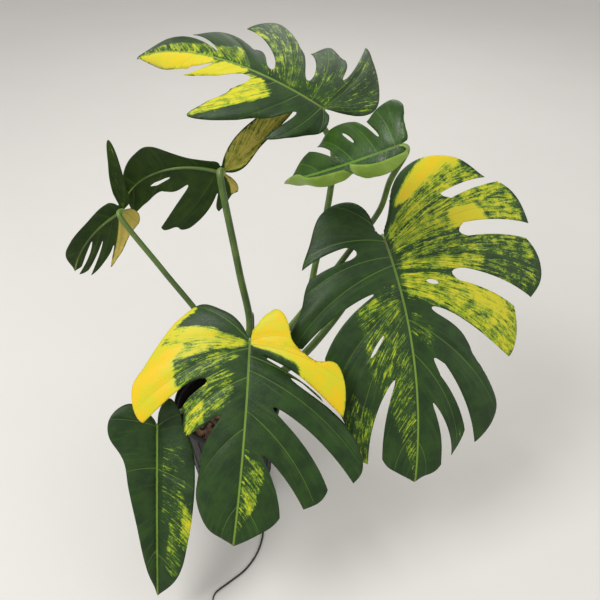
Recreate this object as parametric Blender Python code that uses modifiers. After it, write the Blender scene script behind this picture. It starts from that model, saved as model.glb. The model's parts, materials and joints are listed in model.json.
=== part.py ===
"""A variegated monstera in a plastic nursery pot: pot, soil, stem, seven petioles and seven blades.

Metres, +Z up. The origin is the centre of the pot's underside, and -Y is the plant's front.
"""

from math import cos, pi, radians, sin

import bmesh
import bpy
import numpy as np
from mathutils import Vector
from mathutils.geometry import delaunay_2d_cdt

# The pot, a turned plastic shell.
POT_HEIGHT = 0.185
POT_RIM_RADIUS = 0.088
POT_FOOT_RADIUS = 0.067
POT_WALL = 0.0016
POT_FLOOR = 0.0022
RIM_BAND_HEIGHT = 0.014
RIM_BAND_STEP = 0.0022
POT_STEPS = 48
DRAIN_COUNT = 8
DRAIN_WIDTH = 0.009
DRAIN_HEIGHT = 0.008
DRAIN_TURN = 15

# What the pot holds.
SOIL_BELOW_RIM = 0.032
SOIL_CROWN = 0.004
CHIP_SIZE = (0.019, 0.011, 0.004)
CHIP_BEVEL = 0.0012
CHIPS = ((150, 0.62, 20), (205, 0.78, 75), (238, 0.55, 130), (20, 0.80, 40), (95, 0.72, 160))

# The plant.
STEM_RADIUS = 0.013
STEM_LENGTH = 0.115
STEM_FOOT = (-0.004, 0.012)
STEM_LEAN = (0.42, 0.14)
BLADE_THICKNESS = 0.0012
SHEATH_THICKNESS = 0.001
SHEATH_SPAN = (0.14, 0.46)
SHEATH_WRAP = 150
ROOT_RADIUS = 0.0016

# Touching pieces stay this far apart.
GAP = 0.0003
# A petiole's end stays this far below its blade, whose base is folded.
JOINT_GAP = 0.0036
# The edge length that the blades are meshed with.
BLADE_MESH = 0.017

SOIL_TOP = POT_HEIGHT - SOIL_BELOW_RIM

# Each blade is a fan of ribs. A rib leaves the midrib at a share of its length, at an angle to it,
# and reaches the margin after a share of the midrib's length. Its tilt lifts it out of the blade's
# plane and its curl bends it back. A rib may be followed by a split, which starts at a share of
# the reach and widens to a share of the midrib. "left" is the half on the left of somebody who
# stands at the petiole and looks along the midrib. Bases are measured from the top of the soil.
BLADES = {
    "leaf_front": {
        "base": (0.052, -0.072, 0.232), "heading": -92, "pitch": -40, "roll": 0,
        "midrib": 0.278, "arch": 14, "sway": -6, "sweep": 34,
        "left": (
            (0, 176, 0.04, 0, 0), (0, 174, 0.09, 10, 20), (0, 166, 0.17, 15, 20),
            (0, 150, 0.22, 20, 20), (0, 108, 0.22, 20, 20), (0, 92, 0.34, 20, 25),
            (0.01, 94, 0.46, 20, 30), (0.03, 72, 0.59, 15, 35, 0.12, 0.015),
            (0.07, 74, 0.54, -5, 10, 0.41, 0.04),
            (0.13, 78, 0.57, 5, 20), (0.14, 70, 0.74, 5, 20), (0.17, 64, 0.75, 5, 20, 0.22, 0.04),
            (0.32, 64, 0.61, 5, 20), (0.36, 52, 0.55, 5, 20, 0.28, 0.035),
            (0.58, 54, 0.36, 5, 15), (0.8, 54, 0.17, 5, 10), (1, 40, 0, 0, 0),
        ),
        "right": (
            (0, 176, 0.04, 0, 0), (0, 164, 0.11, 10, 20), (0, 156, 0.20, 10, 25),
            (0, 144, 0.32, 10, 30), (0, 126, 0.38, 8, 30), (0.01, 110, 0.46, 5, 25),
            (0.02, 96, 0.56, 5, 25), (0.03, 86, 0.65, 5, 25), (0.05, 72, 0.66, 5, 25, 0.44, 0.09),
            (0.14, 74, 0.41, 5, 20), (0.21, 64, 0.41, 5, 20, 0.4, 0.03),
            (0.36, 58, 0.34, 5, 20), (0.45, 50, 0.41, 5, 20), (0.6, 42, 0.35, 5, 15),
            (0.8, 38, 0.18, 5, 10), (1, 40, 0, 0, 0),
        ),
        "holes": (),
    },
    "leaf_right": {
        "base": (0.239, 0.030, 0.332), "heading": -60, "pitch": -46, "roll": 17,
        "midrib": 0.351, "arch": 8, "sway": -25, "sweep": 40,
        "left": (
            (0, 176, 0.035, 0, 0), (0, 172, 0.07, 10, 20), (0, 172, 0.21, 12, 25),
            (0, 158, 0.35, 12, 30), (0, 138, 0.48, 10, 30), (0.02, 124, 0.55, 8, 30, 0.54, 0.065),
            (0.05, 122, 0.61, 6, 25), (0.06, 104, 0.65, 6, 25, 0.46, 0.055),
            (0.1, 102, 0.66, 5, 25), (0.11, 90, 0.68, 5, 25), (0.12, 82, 0.64, 5, 25, 0.38, 0.055),
            (0.16, 80, 0.58, 5, 25), (0.2, 64, 0.58, 5, 25, 0.27, 0.035),
            (0.3, 68, 0.34, 5, 20), (0.33, 56, 0.55, 5, 20), (0.36, 40, 0.58, 5, 20, 0.25, 0.045),
            (0.45, 44, 0.45, 5, 20), (0.5, 36, 0.45, 5, 20, 0.3, 0.03),
            (0.68, 38, 0.29, 5, 15), (0.85, 34, 0.13, 5, 10), (1, 40, 0, 0, 0),
        ),
        "right": (
            (0, 176, 0.035, 0, 0), (0, 184, 0.12, 10, 15), (0, 180, 0.19, 12, 25),
            (0, 168, 0.24, 12, 30), (0, 150, 0.28, 10, 30), (0.01, 128, 0.31, 8, 30),
            (0.02, 112, 0.365, 8, 30, 0.36, 0.065),
            (0.07, 110, 0.365, 6, 25), (0.08, 98, 0.425, 6, 25), (0.1, 90, 0.56, 6, 25),
            (0.13, 86, 0.5, 6, 25, 0.25, 0.02),
            (0.24, 84, 0.43, 5, 20), (0.26, 60, 0.55, 5, 20), (0.3, 56, 0.62, 5, 20),
            (0.34, 46, 0.62, 5, 20, 0.28, 0.04),
            (0.6, 48, 0.36, 5, 15), (0.8, 50, 0.18, 5, 10), (1, 40, 0, 0, 0),
        ),
        "holes": (("left", 11.3, 0.24, 0.05, 0.018), ("right", 12.8, 0.31, 0.1, 0.024)),
    },
    "leaf_low_left": {
        "base": (-0.086, -0.116, 0.104), "heading": -90, "pitch": -48, "roll": 0,
        "midrib": 0.247, "arch": 6, "sway": 0, "sweep": 26,
        "left": (
            (0, 176, 0.03, 10, 0), (0, 180, 0.12, 25, 10), (0, 168, 0.2, 25, 10),
            (0, 148, 0.2, 28, 15), (0.02, 116, 0.18, 28, 20), (0.12, 88, 0.25, 26, 20),
            (0.3, 78, 0.27, 24, 15), (0.5, 68, 0.25, 22, 15), (0.75, 60, 0.18, 20, 10),
            (1, 30, 0, 0, 0),
        ),
        "right": (
            (0, 176, 0.03, 10, 0), (0, 158, 0.1, 15, 10), (0, 148, 0.2, 20, 15),
            (0, 132, 0.25, 25, 20), (0, 112, 0.28, 25, 20), (0.05, 100, 0.27, 25, 20),
            (0.2, 104, 0.19, 25, 15), (0.32, 90, 0.165, 25, 15), (0.5, 72, 0.135, 22, 15),
            (0.75, 40, 0.11, 20, 10), (1, 30, 0, 0, 0),
        ),
        "holes": (),
    },
    "leaf_far_left": {
        "base": (-0.141, 0.100, 0.336), "heading": 180, "pitch": -30, "roll": 80,
        "midrib": 0.16, "arch": 0, "sway": -40, "sweep": 16,
        "left": (
            (0, 176, 0.075, 0, 0), (0, 146, 0.25, 0, 0), (0, 138, 0.45, 0, 0),
            (0, 130, 0.75, 0, 0), (0, 124, 0.47, 0, 0), (0, 114, 0.2, 0, 0, 0.4, 0.02),
            (0.05, 100, 0.15, -5, 10), (0.2, 62, 0.16, -5, 10), (0.45, 48, 0.21, -5, 10),
            (0.7, 46, 0.17, -5, 10), (1, 30, 0, 0, 0),
        ),
        "right": (
            (0, 176, 0.075, 0, 0), (0, 110, 0.19, 0, 0), (0, 70, 0.3, 0, 0),
            (0.02, 54, 0.57, 0, 0), (0.04, 48, 0.76, 0, 0, 0.6, 0.025),
            (0.12, 44, 0.62, 0, 0), (0.15, 36, 0.82, 0, 0, 0.35, 0.025),
            (0.28, 32, 0.7, 0, 0), (0.32, 26, 0.7, 0, 0, 0.2, 0.05),
            (0.6, 24, 0.32, 0, 0), (1, 30, 0, 0, 0),
        ),
        "holes": (),
    },
    "leaf_left": {
        "base": (0.009, 0.120, 0.388), "heading": 180, "pitch": 20, "roll": 80,
        "midrib": 0.18, "arch": 0, "sway": -80, "sweep": 20,
        "left": (
            (0, 176, 0.07, 0, 0), (0, 142, 0.3, 10, 0), (0, 134, 0.55, 12, 0),
            (0, 128, 0.8, 15, 0), (0, 110, 0.48, 10, 0), (0, 94, 0.23, 5, 0, 0.3, 0.02),
            (0.06, 80, 0.09, -5, 10), (0.2, 66, 0.11, -5, 10), (0.45, 96, 0.27, -5, 10),
            (0.65, 112, 0.23, -5, 10), (0.85, 90, 0.09, -5, 10), (1, 30, 0, 0, 0),
        ),
        "right": (
            (0, 176, 0.07, 0, 0), (0, 150, 0.22, 0, 0), (0, 130, 0.25, 0, 0),
            (0, 110, 0.42, 0, 0, 0.39, 0.035), (0.03, 90, 0.77, 0, 0), (0.05, 82, 0.77, 0, 0),
            (0.08, 74, 0.84, 0, 0, 0.38, 0.055),
            (0.3, 56, 0.38, 0, 0), (0.5, 50, 0.41, 0, 0), (0.8, 42, 0.31, 0, 0), (1, 30, 0, 0, 0),
        ),
        "holes": (("right", 7.9, 0.36, 0.055, 0.22),),
    },
    "leaf_top": {
        "base": (0.151, 0.085, 0.498), "heading": 155, "pitch": 24, "roll": -15,
        "midrib": 0.373, "arch": 55, "sway": -10, "sweep": 34,
        "left": (
            (0, 176, 0.035, 0, 0), (0, 140, 0.09, -5, 20), (0, 112, 0.12, -5, 25),
            (0, 94, 0.17, -5, 25), (0.02, 82, 0.23, -5, 30, 0.37, 0.025),
            (0.06, 72, 0.19, -8, 20), (0.1, 68, 0.27, -8, 20), (0.13, 58, 0.39, -8, 20),
            (0.18, 54, 0.28, -8, 20), (0.22, 56, 0.15, -8, 20, 0.3, 0.06),
            (0.33, 50, 0.12, -12, 10), (0.38, 36, 0.23, -12, 10, 0.2, 0.02),
            (0.5, 42, 0.12, -20, 10), (0.66, 46, 0.11, -25, 10), (0.82, 42, 0.07, -25, 10),
            (1, 30, 0, 0, 0),
        ),
        "right": (
            (0, 176, 0.035, 0, 0), (0, 164, 0.165, 10, 20), (0, 134, 0.265, 10, 25),
            (0, 112, 0.365, 10, 25), (0, 102, 0.43, 10, 30, 0.43, 0.035),
            (0.04, 102, 0.295, 10, 25), (0.05, 90, 0.32, 10, 25), (0.06, 80, 0.295, 10, 40, 0.26, 0.035),
            (0.12, 82, 0.25, 8, 25), (0.14, 70, 0.425, 6, 25), (0.17, 56, 0.44, 6, 35, 0.15, 0.04),
            (0.26, 64, 0.165, 6, 20), (0.3, 50, 0.3, 6, 20), (0.36, 34, 0.31, 6, 20, 0.2, 0.02),
            (0.52, 38, 0.22, 6, 10), (0.7, 40, 0.18, 6, 10), (1, 30, 0, 0, 0),
        ),
        "holes": (),
    },
    "leaf_young": {
        "base": (0.234, -0.034, 0.503), "heading": 160, "pitch": -30, "roll": -45,
        "midrib": 0.169, "arch": 10, "sway": -10, "sweep": 30,
        "left": (
            (0, 170, 0.05, -20, -60), (0, 130, 0.27, -20, -130), (0.05, 92, 0.46, -20, -150),
            (0.12, 66, 0.46, -20, -150, 0.3, 0.03),
            (0.3, 80, 0.27, -20, -150), (0.42, 62, 0.44, -20, -150), (0.6, 46, 0.38, -15, -140),
            (1, 30, 0, 0, 0),
        ),
        "right": (
            (0, 176, 0.065, 0, 0), (0, 130, 0.15, 10, 20), (0, 118, 0.3, 10, 25),
            (0, 104, 0.37, 10, 25), (0.02, 90, 0.35, 10, 25), (0.05, 72, 0.325, 8, 20, 0.33, 0.04),
            (0.12, 70, 0.42, 3, 20), (0.2, 66, 0.47, 0, 20), (0.3, 60, 0.49, 0, 20),
            (0.4, 52, 0.44, 0, 20, 0.2, 0.03),
            (0.5, 50, 0.33, 5, 10), (0.7, 42, 0.24, 0, 10), (1, 30, 0, 0, 0),
        ),
        "holes": (("right", 7.6, 0.5, 0.16, 0.028),),
    },
}

# Each petiole starts beside the stem, at a share of its length and an azimuth round it, passes
# through its own points, measured from the top of the soil, and ends under its blade.
PETIOLES = {
    "petiole_front": {
        "blade": "leaf_front", "radius": 0.0052, "start": (0.15, -80),
        "through": ((0.034, -0.010, 0.10), (0.052, -0.030, 0.185)),
    },
    "petiole_right": {
        "blade": "leaf_right", "radius": 0.0060, "start": (0.25, -20),
        "through": ((0.112, 0.012, 0.105), (0.170, 0.030, 0.175), (0.218, 0.055, 0.250)),
    },
    "petiole_low_left": {
        "blade": "leaf_low_left", "radius": 0.0040, "start": (0.02, -135),
        "through": ((-0.042, -0.048, 0.075),),
    },
    "petiole_far_left": {
        "blade": "leaf_far_left", "radius": 0.0046, "start": (0.30, 170),
        "through": ((-0.022, 0.040, 0.150), (-0.088, 0.066, 0.250)),
    },
    "petiole_left": {
        "blade": "leaf_left", "radius": 0.0058, "start": (0.45, 125),
        "through": ((0.040, 0.050, 0.145), (0.028, 0.066, 0.250)),
    },
    "petiole_top": {
        "blade": "leaf_top", "radius": 0.0050, "start": (0.62, 60),
        "through": ((0.115, 0.072, 0.111), (0.147, 0.100, 0.245), (0.166, 0.115, 0.361), (0.167, 0.113, 0.430)),
    },
    "petiole_young": {
        "blade": "leaf_young", "radius": 0.0044, "start": (0.80, 0),
        "through": ((0.132, 0.032, 0.207), (0.195, 0.060, 0.292), (0.229, 0.045, 0.365), (0.234, 0.002, 0.438)),
    },
}
PETIOLE_STEPS = 15

# The loose root: an angle round the pot's foot, then points on the surface from there.
ROOT_ANGLE = -55
ROOT_POINTS = ((0.012, -0.040), (0.019, -0.076), (0.012, -0.112), (-0.006, -0.142), (-0.030, -0.163),
               (-0.051, -0.181), (-0.054, -0.200))
ROOT_STEPS = 34


def clear_scene():
    for obj in list(bpy.data.objects):
        bpy.data.objects.remove(obj)


def new_collection(name):
    collection = bpy.data.collections.new(name)
    bpy.context.scene.collection.children.link(collection)
    return collection


def new_material(name, colour, roughness, metallic=0.0):
    material = bpy.data.materials.new(name)
    material.use_nodes = True
    shader = material.node_tree.nodes["Principled BSDF"]
    shader.inputs["Base Color"].default_value = (*colour, 1)
    shader.inputs["Roughness"].default_value = roughness
    shader.inputs["Metallic"].default_value = metallic
    return material


def add_object(name, data, collection, material=None):
    obj = bpy.data.objects.new(name, data)
    collection.objects.link(obj)
    if material:
        obj.data.materials.append(material)
    return obj


def rotation(axis, angle):
    """The matrix that turns by an angle, in radians, about a unit axis."""
    x, y, z = axis
    skew = np.array([[0, -z, y], [z, 0, -x], [-y, x, 0]])
    return np.eye(3) + sin(angle) * skew + (1 - cos(angle)) * (skew @ skew)


def smooth_path(points, q):
    """Points of a curve that goes through the given ones at q = 0, 1, 2 and so on."""
    points = np.asarray(points, float)
    last = len(points) - 1
    q = np.clip(np.asarray(q, float), 0, last)
    i = np.minimum(q.astype(int), last - 1)
    t = (q - i).reshape((-1,) + (1,) * (points.ndim - 1))
    here, after = points[i], points[i + 1]
    slope_here = (after - points[np.maximum(i - 1, 0)]) / np.where(i == 0, 1, 2).reshape(t.shape)
    slope_after = (points[np.minimum(i + 2, last)] - here) / np.where(i + 2 > last, 1, 2).reshape(t.shape)
    return (
        (2 * t**3 - 3 * t**2 + 1) * here
        + (t**3 - 2 * t**2 + t) * slope_here
        + (3 * t**2 - 2 * t**3) * after
        + (t**3 - t**2) * slope_after
    )


class Blade:
    """A blade's shape: where the point at share f of rib q lies, on either side of its midrib."""

    MIDRIB_STEPS = 40
    RIB_STEPS = 8
    SPLIT_STEPS = 7
    HOLE_POINTS = 10
    SHOULDER = 0.06

    def __init__(self, spec):
        self.midrib = spec["midrib"]
        self.sweep = radians(spec["sweep"])
        self.ribs = {1: spec["left"], -1: spec["right"]}
        side_of = {"left": 1, "right": -1}
        self.holes = [(side_of[side], *rest) for side, *rest in spec["holes"]]
        self.base = np.array(spec["base"]) + (0, 0, SOIL_TOP)
        heading, pitch = radians(spec["heading"]), radians(spec["pitch"])
        along = np.array([cos(pitch) * cos(heading), cos(pitch) * sin(heading), sin(pitch)])
        up = np.array([-sin(pitch) * cos(heading), -sin(pitch) * sin(heading), cos(pitch)])
        up = rotation(along, radians(spec["roll"])) @ up
        across = np.cross(up, along)
        self.up = up
        self.share = np.linspace(0, 1, self.MIDRIB_STEPS + 1)
        arch, sway = radians(spec["arch"]), radians(spec["sway"])
        turns = [rotation(across, arch * s) @ rotation(up, sway * s) for s in self.share]
        self.frames = np.array([[turn @ along, turn @ up, turn @ across] for turn in turns])
        middles = (self.frames[:-1, 0] + self.frames[1:, 0]) / 2
        steps = np.vstack([np.zeros(3), middles]) * self.midrib / self.MIDRIB_STEPS
        self.spine = self.base + np.cumsum(steps, axis=0)

    def rib(self, side, q):
        """Along, angle, reach, tilt and curl of rib q."""
        rows = smooth_path([row[:5] for row in self.ribs[side]], q)
        rows[:, 0] = np.clip(rows[:, 0], 0, 1)
        rows[:, 2] *= self.midrib
        rows[:, [1, 3, 4]] = np.radians(rows[:, [1, 3, 4]])
        return rows.T

    def place(self, side, q, f, flat=False):
        """The points in space, or unrolled in the plane, that share f of rib q reaches."""
        q, f = np.atleast_1d(q).astype(float), np.atleast_1d(f).astype(float)
        along, angle, reach, tilt, curl = self.rib(side, q)
        bend = self.sweep * f / 2
        length = reach * f * np.sinc(bend / pi)
        if flat:
            return np.stack(
                [along * self.midrib + length * np.cos(angle - bend), side * length * np.sin(angle - bend)], 1
            )
        half = curl * f / 2
        out = length * np.sinc(half / pi) * np.cos(tilt - half)
        lift = reach * f * np.sinc(half / pi) * np.sin(tilt - half)
        spine = np.stack([np.interp(along, self.share, self.spine[:, k]) for k in range(3)], 1)
        axes = np.stack(
            [np.interp(along, self.share, self.frames[:, a, k]) for a in range(3) for k in range(3)], 1
        ).reshape(-1, 3, 3)
        return (
            spine
            + (out * np.cos(angle - bend))[:, None] * axes[:, 0]
            + (side * out * np.sin(angle - bend))[:, None] * axes[:, 2]
            + lift[:, None] * axes[:, 1]
        )

    def spacing(self, side, q, f):
        """Metres per unit of q there."""
        ends = self.place(side, [q - 0.02, q + 0.02], [f, f], flat=True)
        return max(np.linalg.norm(ends[1] - ends[0]) / 0.04, 0.004)

    def margin(self, side, q):
        """The share of its reach that rib q has: less at the round shoulder after a split."""
        share = np.ones_like(q)
        for i, row in enumerate(self.ribs[side]):
            if len(row) > 5:
                t = np.clip((q - i - 1) / 0.6, 0, 1)
                share = np.where(q >= i + 1, share - self.SHOULDER * (1 - t) ** 2, share)
        return share

    def split_half(self, side, i, start, width, t):
        """Half the width of the split after rib i, in q, at share t of the way out."""
        across = self.spacing(side, i + 0.5, start + (1 - start) * t)
        return min(0.5, 1.3 * width * self.midrib * t**0.5 * (1 - t) / across + 0.5 * t**2)

    def outline(self, side):
        """(q, f) from the sinus round the margin and its splits to the tip."""
        rows = self.ribs[side]
        last = len(rows) - 1
        points, q_from = [], 0.0
        splits = [(i, row[5], row[6]) for i, row in enumerate(rows) if len(row) > 5]
        for i, start, width in splits + [(last, None, None)]:
            count = max(3, int((i - q_from) * self.RIB_STEPS / 2) + 1)
            q = np.linspace(q_from, i, count)
            points += list(zip(q, self.margin(side, q)))
            if start is None:
                break
            far = self.margin(side, np.array([i + 1.0]))[0]
            t = np.linspace(0, 1, self.SPLIT_STEPS + 1)
            half = [self.split_half(side, i, start, width, s) for s in t]
            points += [(i + 0.5 - h, start + (1 - start) * s) for s, h in zip(t, half)][-2::-1]
            points += [(i + 0.5 + h, start + (far - start) * s) for s, h in zip(t, half)][1:-1]
            q_from = i + 1.0
        return np.array(points)

    def hole(self, side, q, f, length, width):
        """(q, f) round a hole, whose length runs along the rib."""
        ends = self.place(side, [q, q], [f - 0.02, f + 0.02], flat=True)
        per_f = np.linalg.norm(ends[1] - ends[0]) / 0.04
        turn = np.linspace(0, 2 * pi, self.HOLE_POINTS, endpoint=False)
        half_q = 0.5 * width * self.midrib / self.spacing(side, q, f)
        half_f = 0.5 * length * self.midrib / per_f
        return np.stack([q + half_q * np.sin(turn), f + half_f * np.cos(turn)], 1)


def thinned(points, flat, least):
    """Drops each point that is closer than least to the one kept before it."""
    kept = [0]
    for i in range(1, len(points) - 1):
        if np.linalg.norm(flat[i] - flat[kept[-1]]) >= least:
            kept.append(i)
    return points[kept + [len(points) - 1]]


def inside(points, loop):
    """Which points lie inside a closed loop."""
    x, y = points[:, 0][:, None], points[:, 1][:, None]
    x1, y1 = loop[:, 0], loop[:, 1]
    x2, y2 = np.roll(x1, -1), np.roll(y1, -1)
    rise = np.where(y2 == y1, 1e-12, y2 - y1)
    crossed = ((y1 > y) != (y2 > y)) & (x < (x2 - x1) * (y - y1) / rise + x1)
    return crossed.sum(axis=1) % 2 == 1


def half_blade(blade, side, mesh_size):
    """The points in space and the triangles of one half, with its midrib's points first."""
    on_midrib = max(4, int(blade.midrib / mesh_size))
    shares = np.linspace(0, 1, on_midrib + 1)
    edge = blade.outline(side)
    edge = thinned(edge, blade.place(side, edge[:, 0], edge[:, 1], flat=True), mesh_size * 0.22)[:-1]
    loops = [blade.hole(*hole) for hole in blade.holes if hole[0] == side]
    spread = np.arange(0.5, len(blade.ribs[side]) - 1, 0.25)
    inner = np.array([(q, f) for q in spread for f in np.arange(0.12, 0.95, 0.1)])

    middle_flat = np.stack([shares * blade.midrib, np.zeros(on_midrib + 1)], 1)
    edge_flat = blade.place(side, edge[:, 0], edge[:, 1], flat=True)
    hole_flat = [blade.place(side, loop[:, 0], loop[:, 1], flat=True) for loop in loops]
    boundary = np.vstack([middle_flat, edge_flat[::-1]])

    fixed = np.vstack([boundary, *hole_flat])
    fine = np.vstack([fixed, (fixed + np.roll(fixed, -1, axis=0)) / 2])
    inner_flat = blade.place(side, inner[:, 0], inner[:, 1], flat=True)
    kept, kept_flat = [], np.zeros((0, 2))
    for point, flat in zip(inner, inner_flat):
        if not inside(flat[None], boundary)[0] or any(inside(flat[None], loop)[0] for loop in hole_flat):
            continue
        if np.linalg.norm(fine - flat, axis=1).min() < mesh_size * 0.5:
            continue
        if len(kept) and np.linalg.norm(kept_flat - flat, axis=1).min() < mesh_size * 0.8:
            continue
        kept.append(point)
        kept_flat = np.vstack([kept_flat, flat])

    flat = np.vstack([fixed, kept_flat])
    edges, start = [], 0
    for loop in [boundary, *hole_flat]:
        edges += [(start + k, start + (k + 1) % len(loop)) for k in range(len(loop))]
        start += len(loop)
    out = delaunay_2d_cdt([Vector(p) for p in flat], edges, [], 0, 1e-7)
    triangles = np.array([list(face) for face in out[2]])
    source = np.array([origin[0] for origin in out[3]])
    centres = flat[source[triangles]].mean(axis=1)
    keep = inside(centres, boundary)
    for loop in hole_flat:
        keep &= ~inside(centres, loop)
    triangles = source[triangles[keep]]

    middle = np.stack([np.interp(shares, blade.share, blade.spine[:, k]) for k in range(3)], 1)
    rest = np.vstack([edge[::-1], *loops, np.array(kept).reshape(-1, 2)])
    places = np.vstack([middle, blade.place(side, rest[:, 0], rest[:, 1])])
    return places, triangles, on_midrib + 1


def make_blade(name, collection, material):
    """Both halves of a blade, joined along the midrib and given the blade's thickness."""
    blade = Blade(BLADES[name])
    left, left_faces, shared = half_blade(blade, 1, BLADE_MESH)
    right, right_faces, _ = half_blade(blade, -1, BLADE_MESH)
    right_faces = np.where(right_faces < shared, right_faces, right_faces + len(left) - shared)
    points = np.vstack([left, right[shared:]])
    mesh = bpy.data.meshes.new(name)
    mesh.from_pydata(points.tolist(), [], np.vstack([left_faces, right_faces]).tolist())
    face_up(mesh, blade.up)
    obj = add_object(name, mesh, collection, material)
    solidify = obj.modifiers.new("thickness", "SOLIDIFY")
    solidify.thickness = BLADE_THICKNESS
    solidify.offset = 0
    return obj


def face_up(mesh, up):
    """Makes the faces agree, with the first midrib face on the blade's upper side."""
    form = bmesh.new()
    form.from_mesh(mesh)
    bmesh.ops.recalc_face_normals(form, faces=form.faces)
    form.faces.ensure_lookup_table()
    if form.faces[0].normal.dot(Vector(up)) < 0:
        bmesh.ops.reverse_faces(form, faces=form.faces)
    form.to_mesh(mesh)
    form.free()


def tube(name, points, radii, collection, material):
    """A round tube through the points, with closed ends."""
    curve = bpy.data.curves.new(name, "CURVE")
    curve.dimensions = "3D"
    curve.bevel_depth = 1
    curve.bevel_resolution = 2
    curve.use_fill_caps = True
    spline = curve.splines.new("POLY")
    spline.points.add(len(points) - 1)
    for point, place, radius in zip(spline.points, points, radii):
        point.co = (*place, 1)
        point.radius = radius
    return add_object(name, curve, collection, material)


def turned(name, profile, steps, collection, material):
    """A profile of (radius, height) points turned round Z."""
    mesh = bpy.data.meshes.new(name)
    mesh.from_pydata([(r, 0, z) for r, z in profile], [(i, i + 1) for i in range(len(profile) - 1)], [])
    obj = add_object(name, mesh, collection, material)
    screw = obj.modifiers.new("turn", "SCREW")
    screw.steps = screw.render_steps = steps
    screw.use_merge_vertices = True
    screw.merge_threshold = 1e-5
    return obj


def wall_radius(height):
    """The pot wall's outer radius at a height."""
    return POT_FOOT_RADIUS + (POT_RIM_RADIUS - RIM_BAND_STEP - POT_FOOT_RADIUS) * height / POT_HEIGHT


def make_pot(collection, cutters, material):
    """A tapered shell with a stepped rim band and drainage notches round its foot."""
    band_foot = POT_HEIGHT - RIM_BAND_HEIGHT
    profile = (
        (0, POT_FLOOR),
        (wall_radius(POT_FLOOR) - POT_WALL, POT_FLOOR),
        (wall_radius(band_foot) - POT_WALL, band_foot),
        (POT_RIM_RADIUS - POT_WALL, band_foot + RIM_BAND_STEP),
        (POT_RIM_RADIUS - POT_WALL, POT_HEIGHT - POT_WALL / 2),
        (POT_RIM_RADIUS - POT_WALL / 2, POT_HEIGHT),
        (POT_RIM_RADIUS, POT_HEIGHT - POT_WALL / 2),
        (POT_RIM_RADIUS, band_foot),
        (wall_radius(band_foot), band_foot),
        (wall_radius(POT_FLOOR), POT_FLOOR),
        (wall_radius(0) - POT_WALL / 2, 0),
        (0, 0),
    )
    pot = turned("nursery_pot", profile, POT_STEPS, collection, material)
    for k in range(DRAIN_COUNT):
        turn = radians(DRAIN_TURN + 360 * k / DRAIN_COUNT)
        bpy.ops.mesh.primitive_cube_add(size=1)
        cutter = bpy.context.object
        cutter.name = f"drain_{k + 1}"
        cutter.scale = (POT_FOOT_RADIUS * 0.2, DRAIN_WIDTH, DRAIN_HEIGHT)
        height = POT_FLOOR + GAP + DRAIN_HEIGHT / 2
        cutter.location = (POT_FOOT_RADIUS * cos(turn), POT_FOOT_RADIUS * sin(turn), height)
        cutter.rotation_euler = (0, 0, turn)
        for owner in list(cutter.users_collection):
            owner.objects.unlink(cutter)
        cutters.objects.link(cutter)
        cutter.hide_render = True
        cutter.display_type = "WIRE"
        cut = pot.modifiers.new(cutter.name, "BOOLEAN")
        cut.operation = "DIFFERENCE"
        cut.object = cutter
    return pot


def make_soil(collection, material):
    """The root ball and its compost: a plug with a low crown, clear of the pot's wall."""
    floor = POT_FLOOR + GAP
    profile = (
        (0, SOIL_TOP),
        (STEM_RADIUS * 2.5, SOIL_TOP),
        (wall_radius(SOIL_TOP) * 0.6, SOIL_TOP - SOIL_CROWN / 3),
        (wall_radius(SOIL_TOP - SOIL_CROWN) - POT_WALL - GAP * 2, SOIL_TOP - SOIL_CROWN),
        (wall_radius(floor) - POT_WALL - GAP * 2, floor),
        (0, floor),
    )
    return turned("potting_soil", profile, POT_STEPS, collection, material)


def make_chips(collection, material):
    """Loose chips of bark that lie on the soil."""
    lie = SOIL_TOP + GAP + CHIP_SIZE[2] / 2
    for k, (azimuth, share, turn) in enumerate(CHIPS):
        bpy.ops.mesh.primitive_cube_add(size=1)
        chip = bpy.context.object
        chip.name = f"bark_chip_{k + 1}"
        chip.data.transform(chip.matrix_world.inverted())
        for vertex in chip.data.vertices:
            vertex.co = Vector(a * b for a, b in zip(vertex.co, CHIP_SIZE))
        radius = share * (wall_radius(SOIL_TOP) - POT_WALL - CHIP_SIZE[0] / 2)
        chip.location = (radius * cos(radians(azimuth)), radius * sin(radians(azimuth)), lie)
        chip.rotation_euler = (0, 0, radians(turn))
        bevel = chip.modifiers.new("edges", "BEVEL")
        bevel.width = CHIP_BEVEL
        bevel.segments = 1
        for owner in list(chip.users_collection):
            owner.objects.unlink(chip)
        collection.objects.link(chip)
        chip.data.materials.append(material)


def stem_point(share):
    """A point on the stem's axis, which leans away from upright."""
    foot = np.array([*STEM_FOOT, SOIL_TOP + GAP + STEM_RADIUS * np.linalg.norm(STEM_LEAN)])
    lean = np.array([*STEM_LEAN, 1])
    return foot + share * STEM_LENGTH * lean / np.linalg.norm(lean)


def petiole_path(name):
    """Points along a petiole, and its radius at each: stout at the stem, thinner at the blade."""
    spec = PETIOLES[name]
    blade = Blade(BLADES[spec["blade"]])
    share, azimuth = spec["start"]
    lean = stem_point(1) - stem_point(0)
    lean /= np.linalg.norm(lean)
    out = np.array([cos(radians(azimuth)), sin(radians(azimuth)), 0])
    out -= out @ lean * lean
    out /= np.linalg.norm(out)
    foot_radius = spec["radius"] * 1.15
    foot = stem_point(share) + out * (STEM_RADIUS + foot_radius + GAP)
    below = blade.base - blade.up * (JOINT_GAP + BLADE_THICKNESS / 2)
    knots = [foot, foot + lean * 0.02 + out * 0.007]
    knots += [np.array(point) + (0, 0, SOIL_TOP) for point in spec["through"]]
    knots += [below - blade.up * 0.02, below]
    q = np.linspace(0, len(knots) - 1, PETIOLE_STEPS)
    points = smooth_path(knots, q)
    radii = np.interp(q / q[-1], (0, 0.25, 0.9, 1), np.array((1.15, 1, 0.8, 0.8)) * spec["radius"])
    return points, radii


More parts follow.
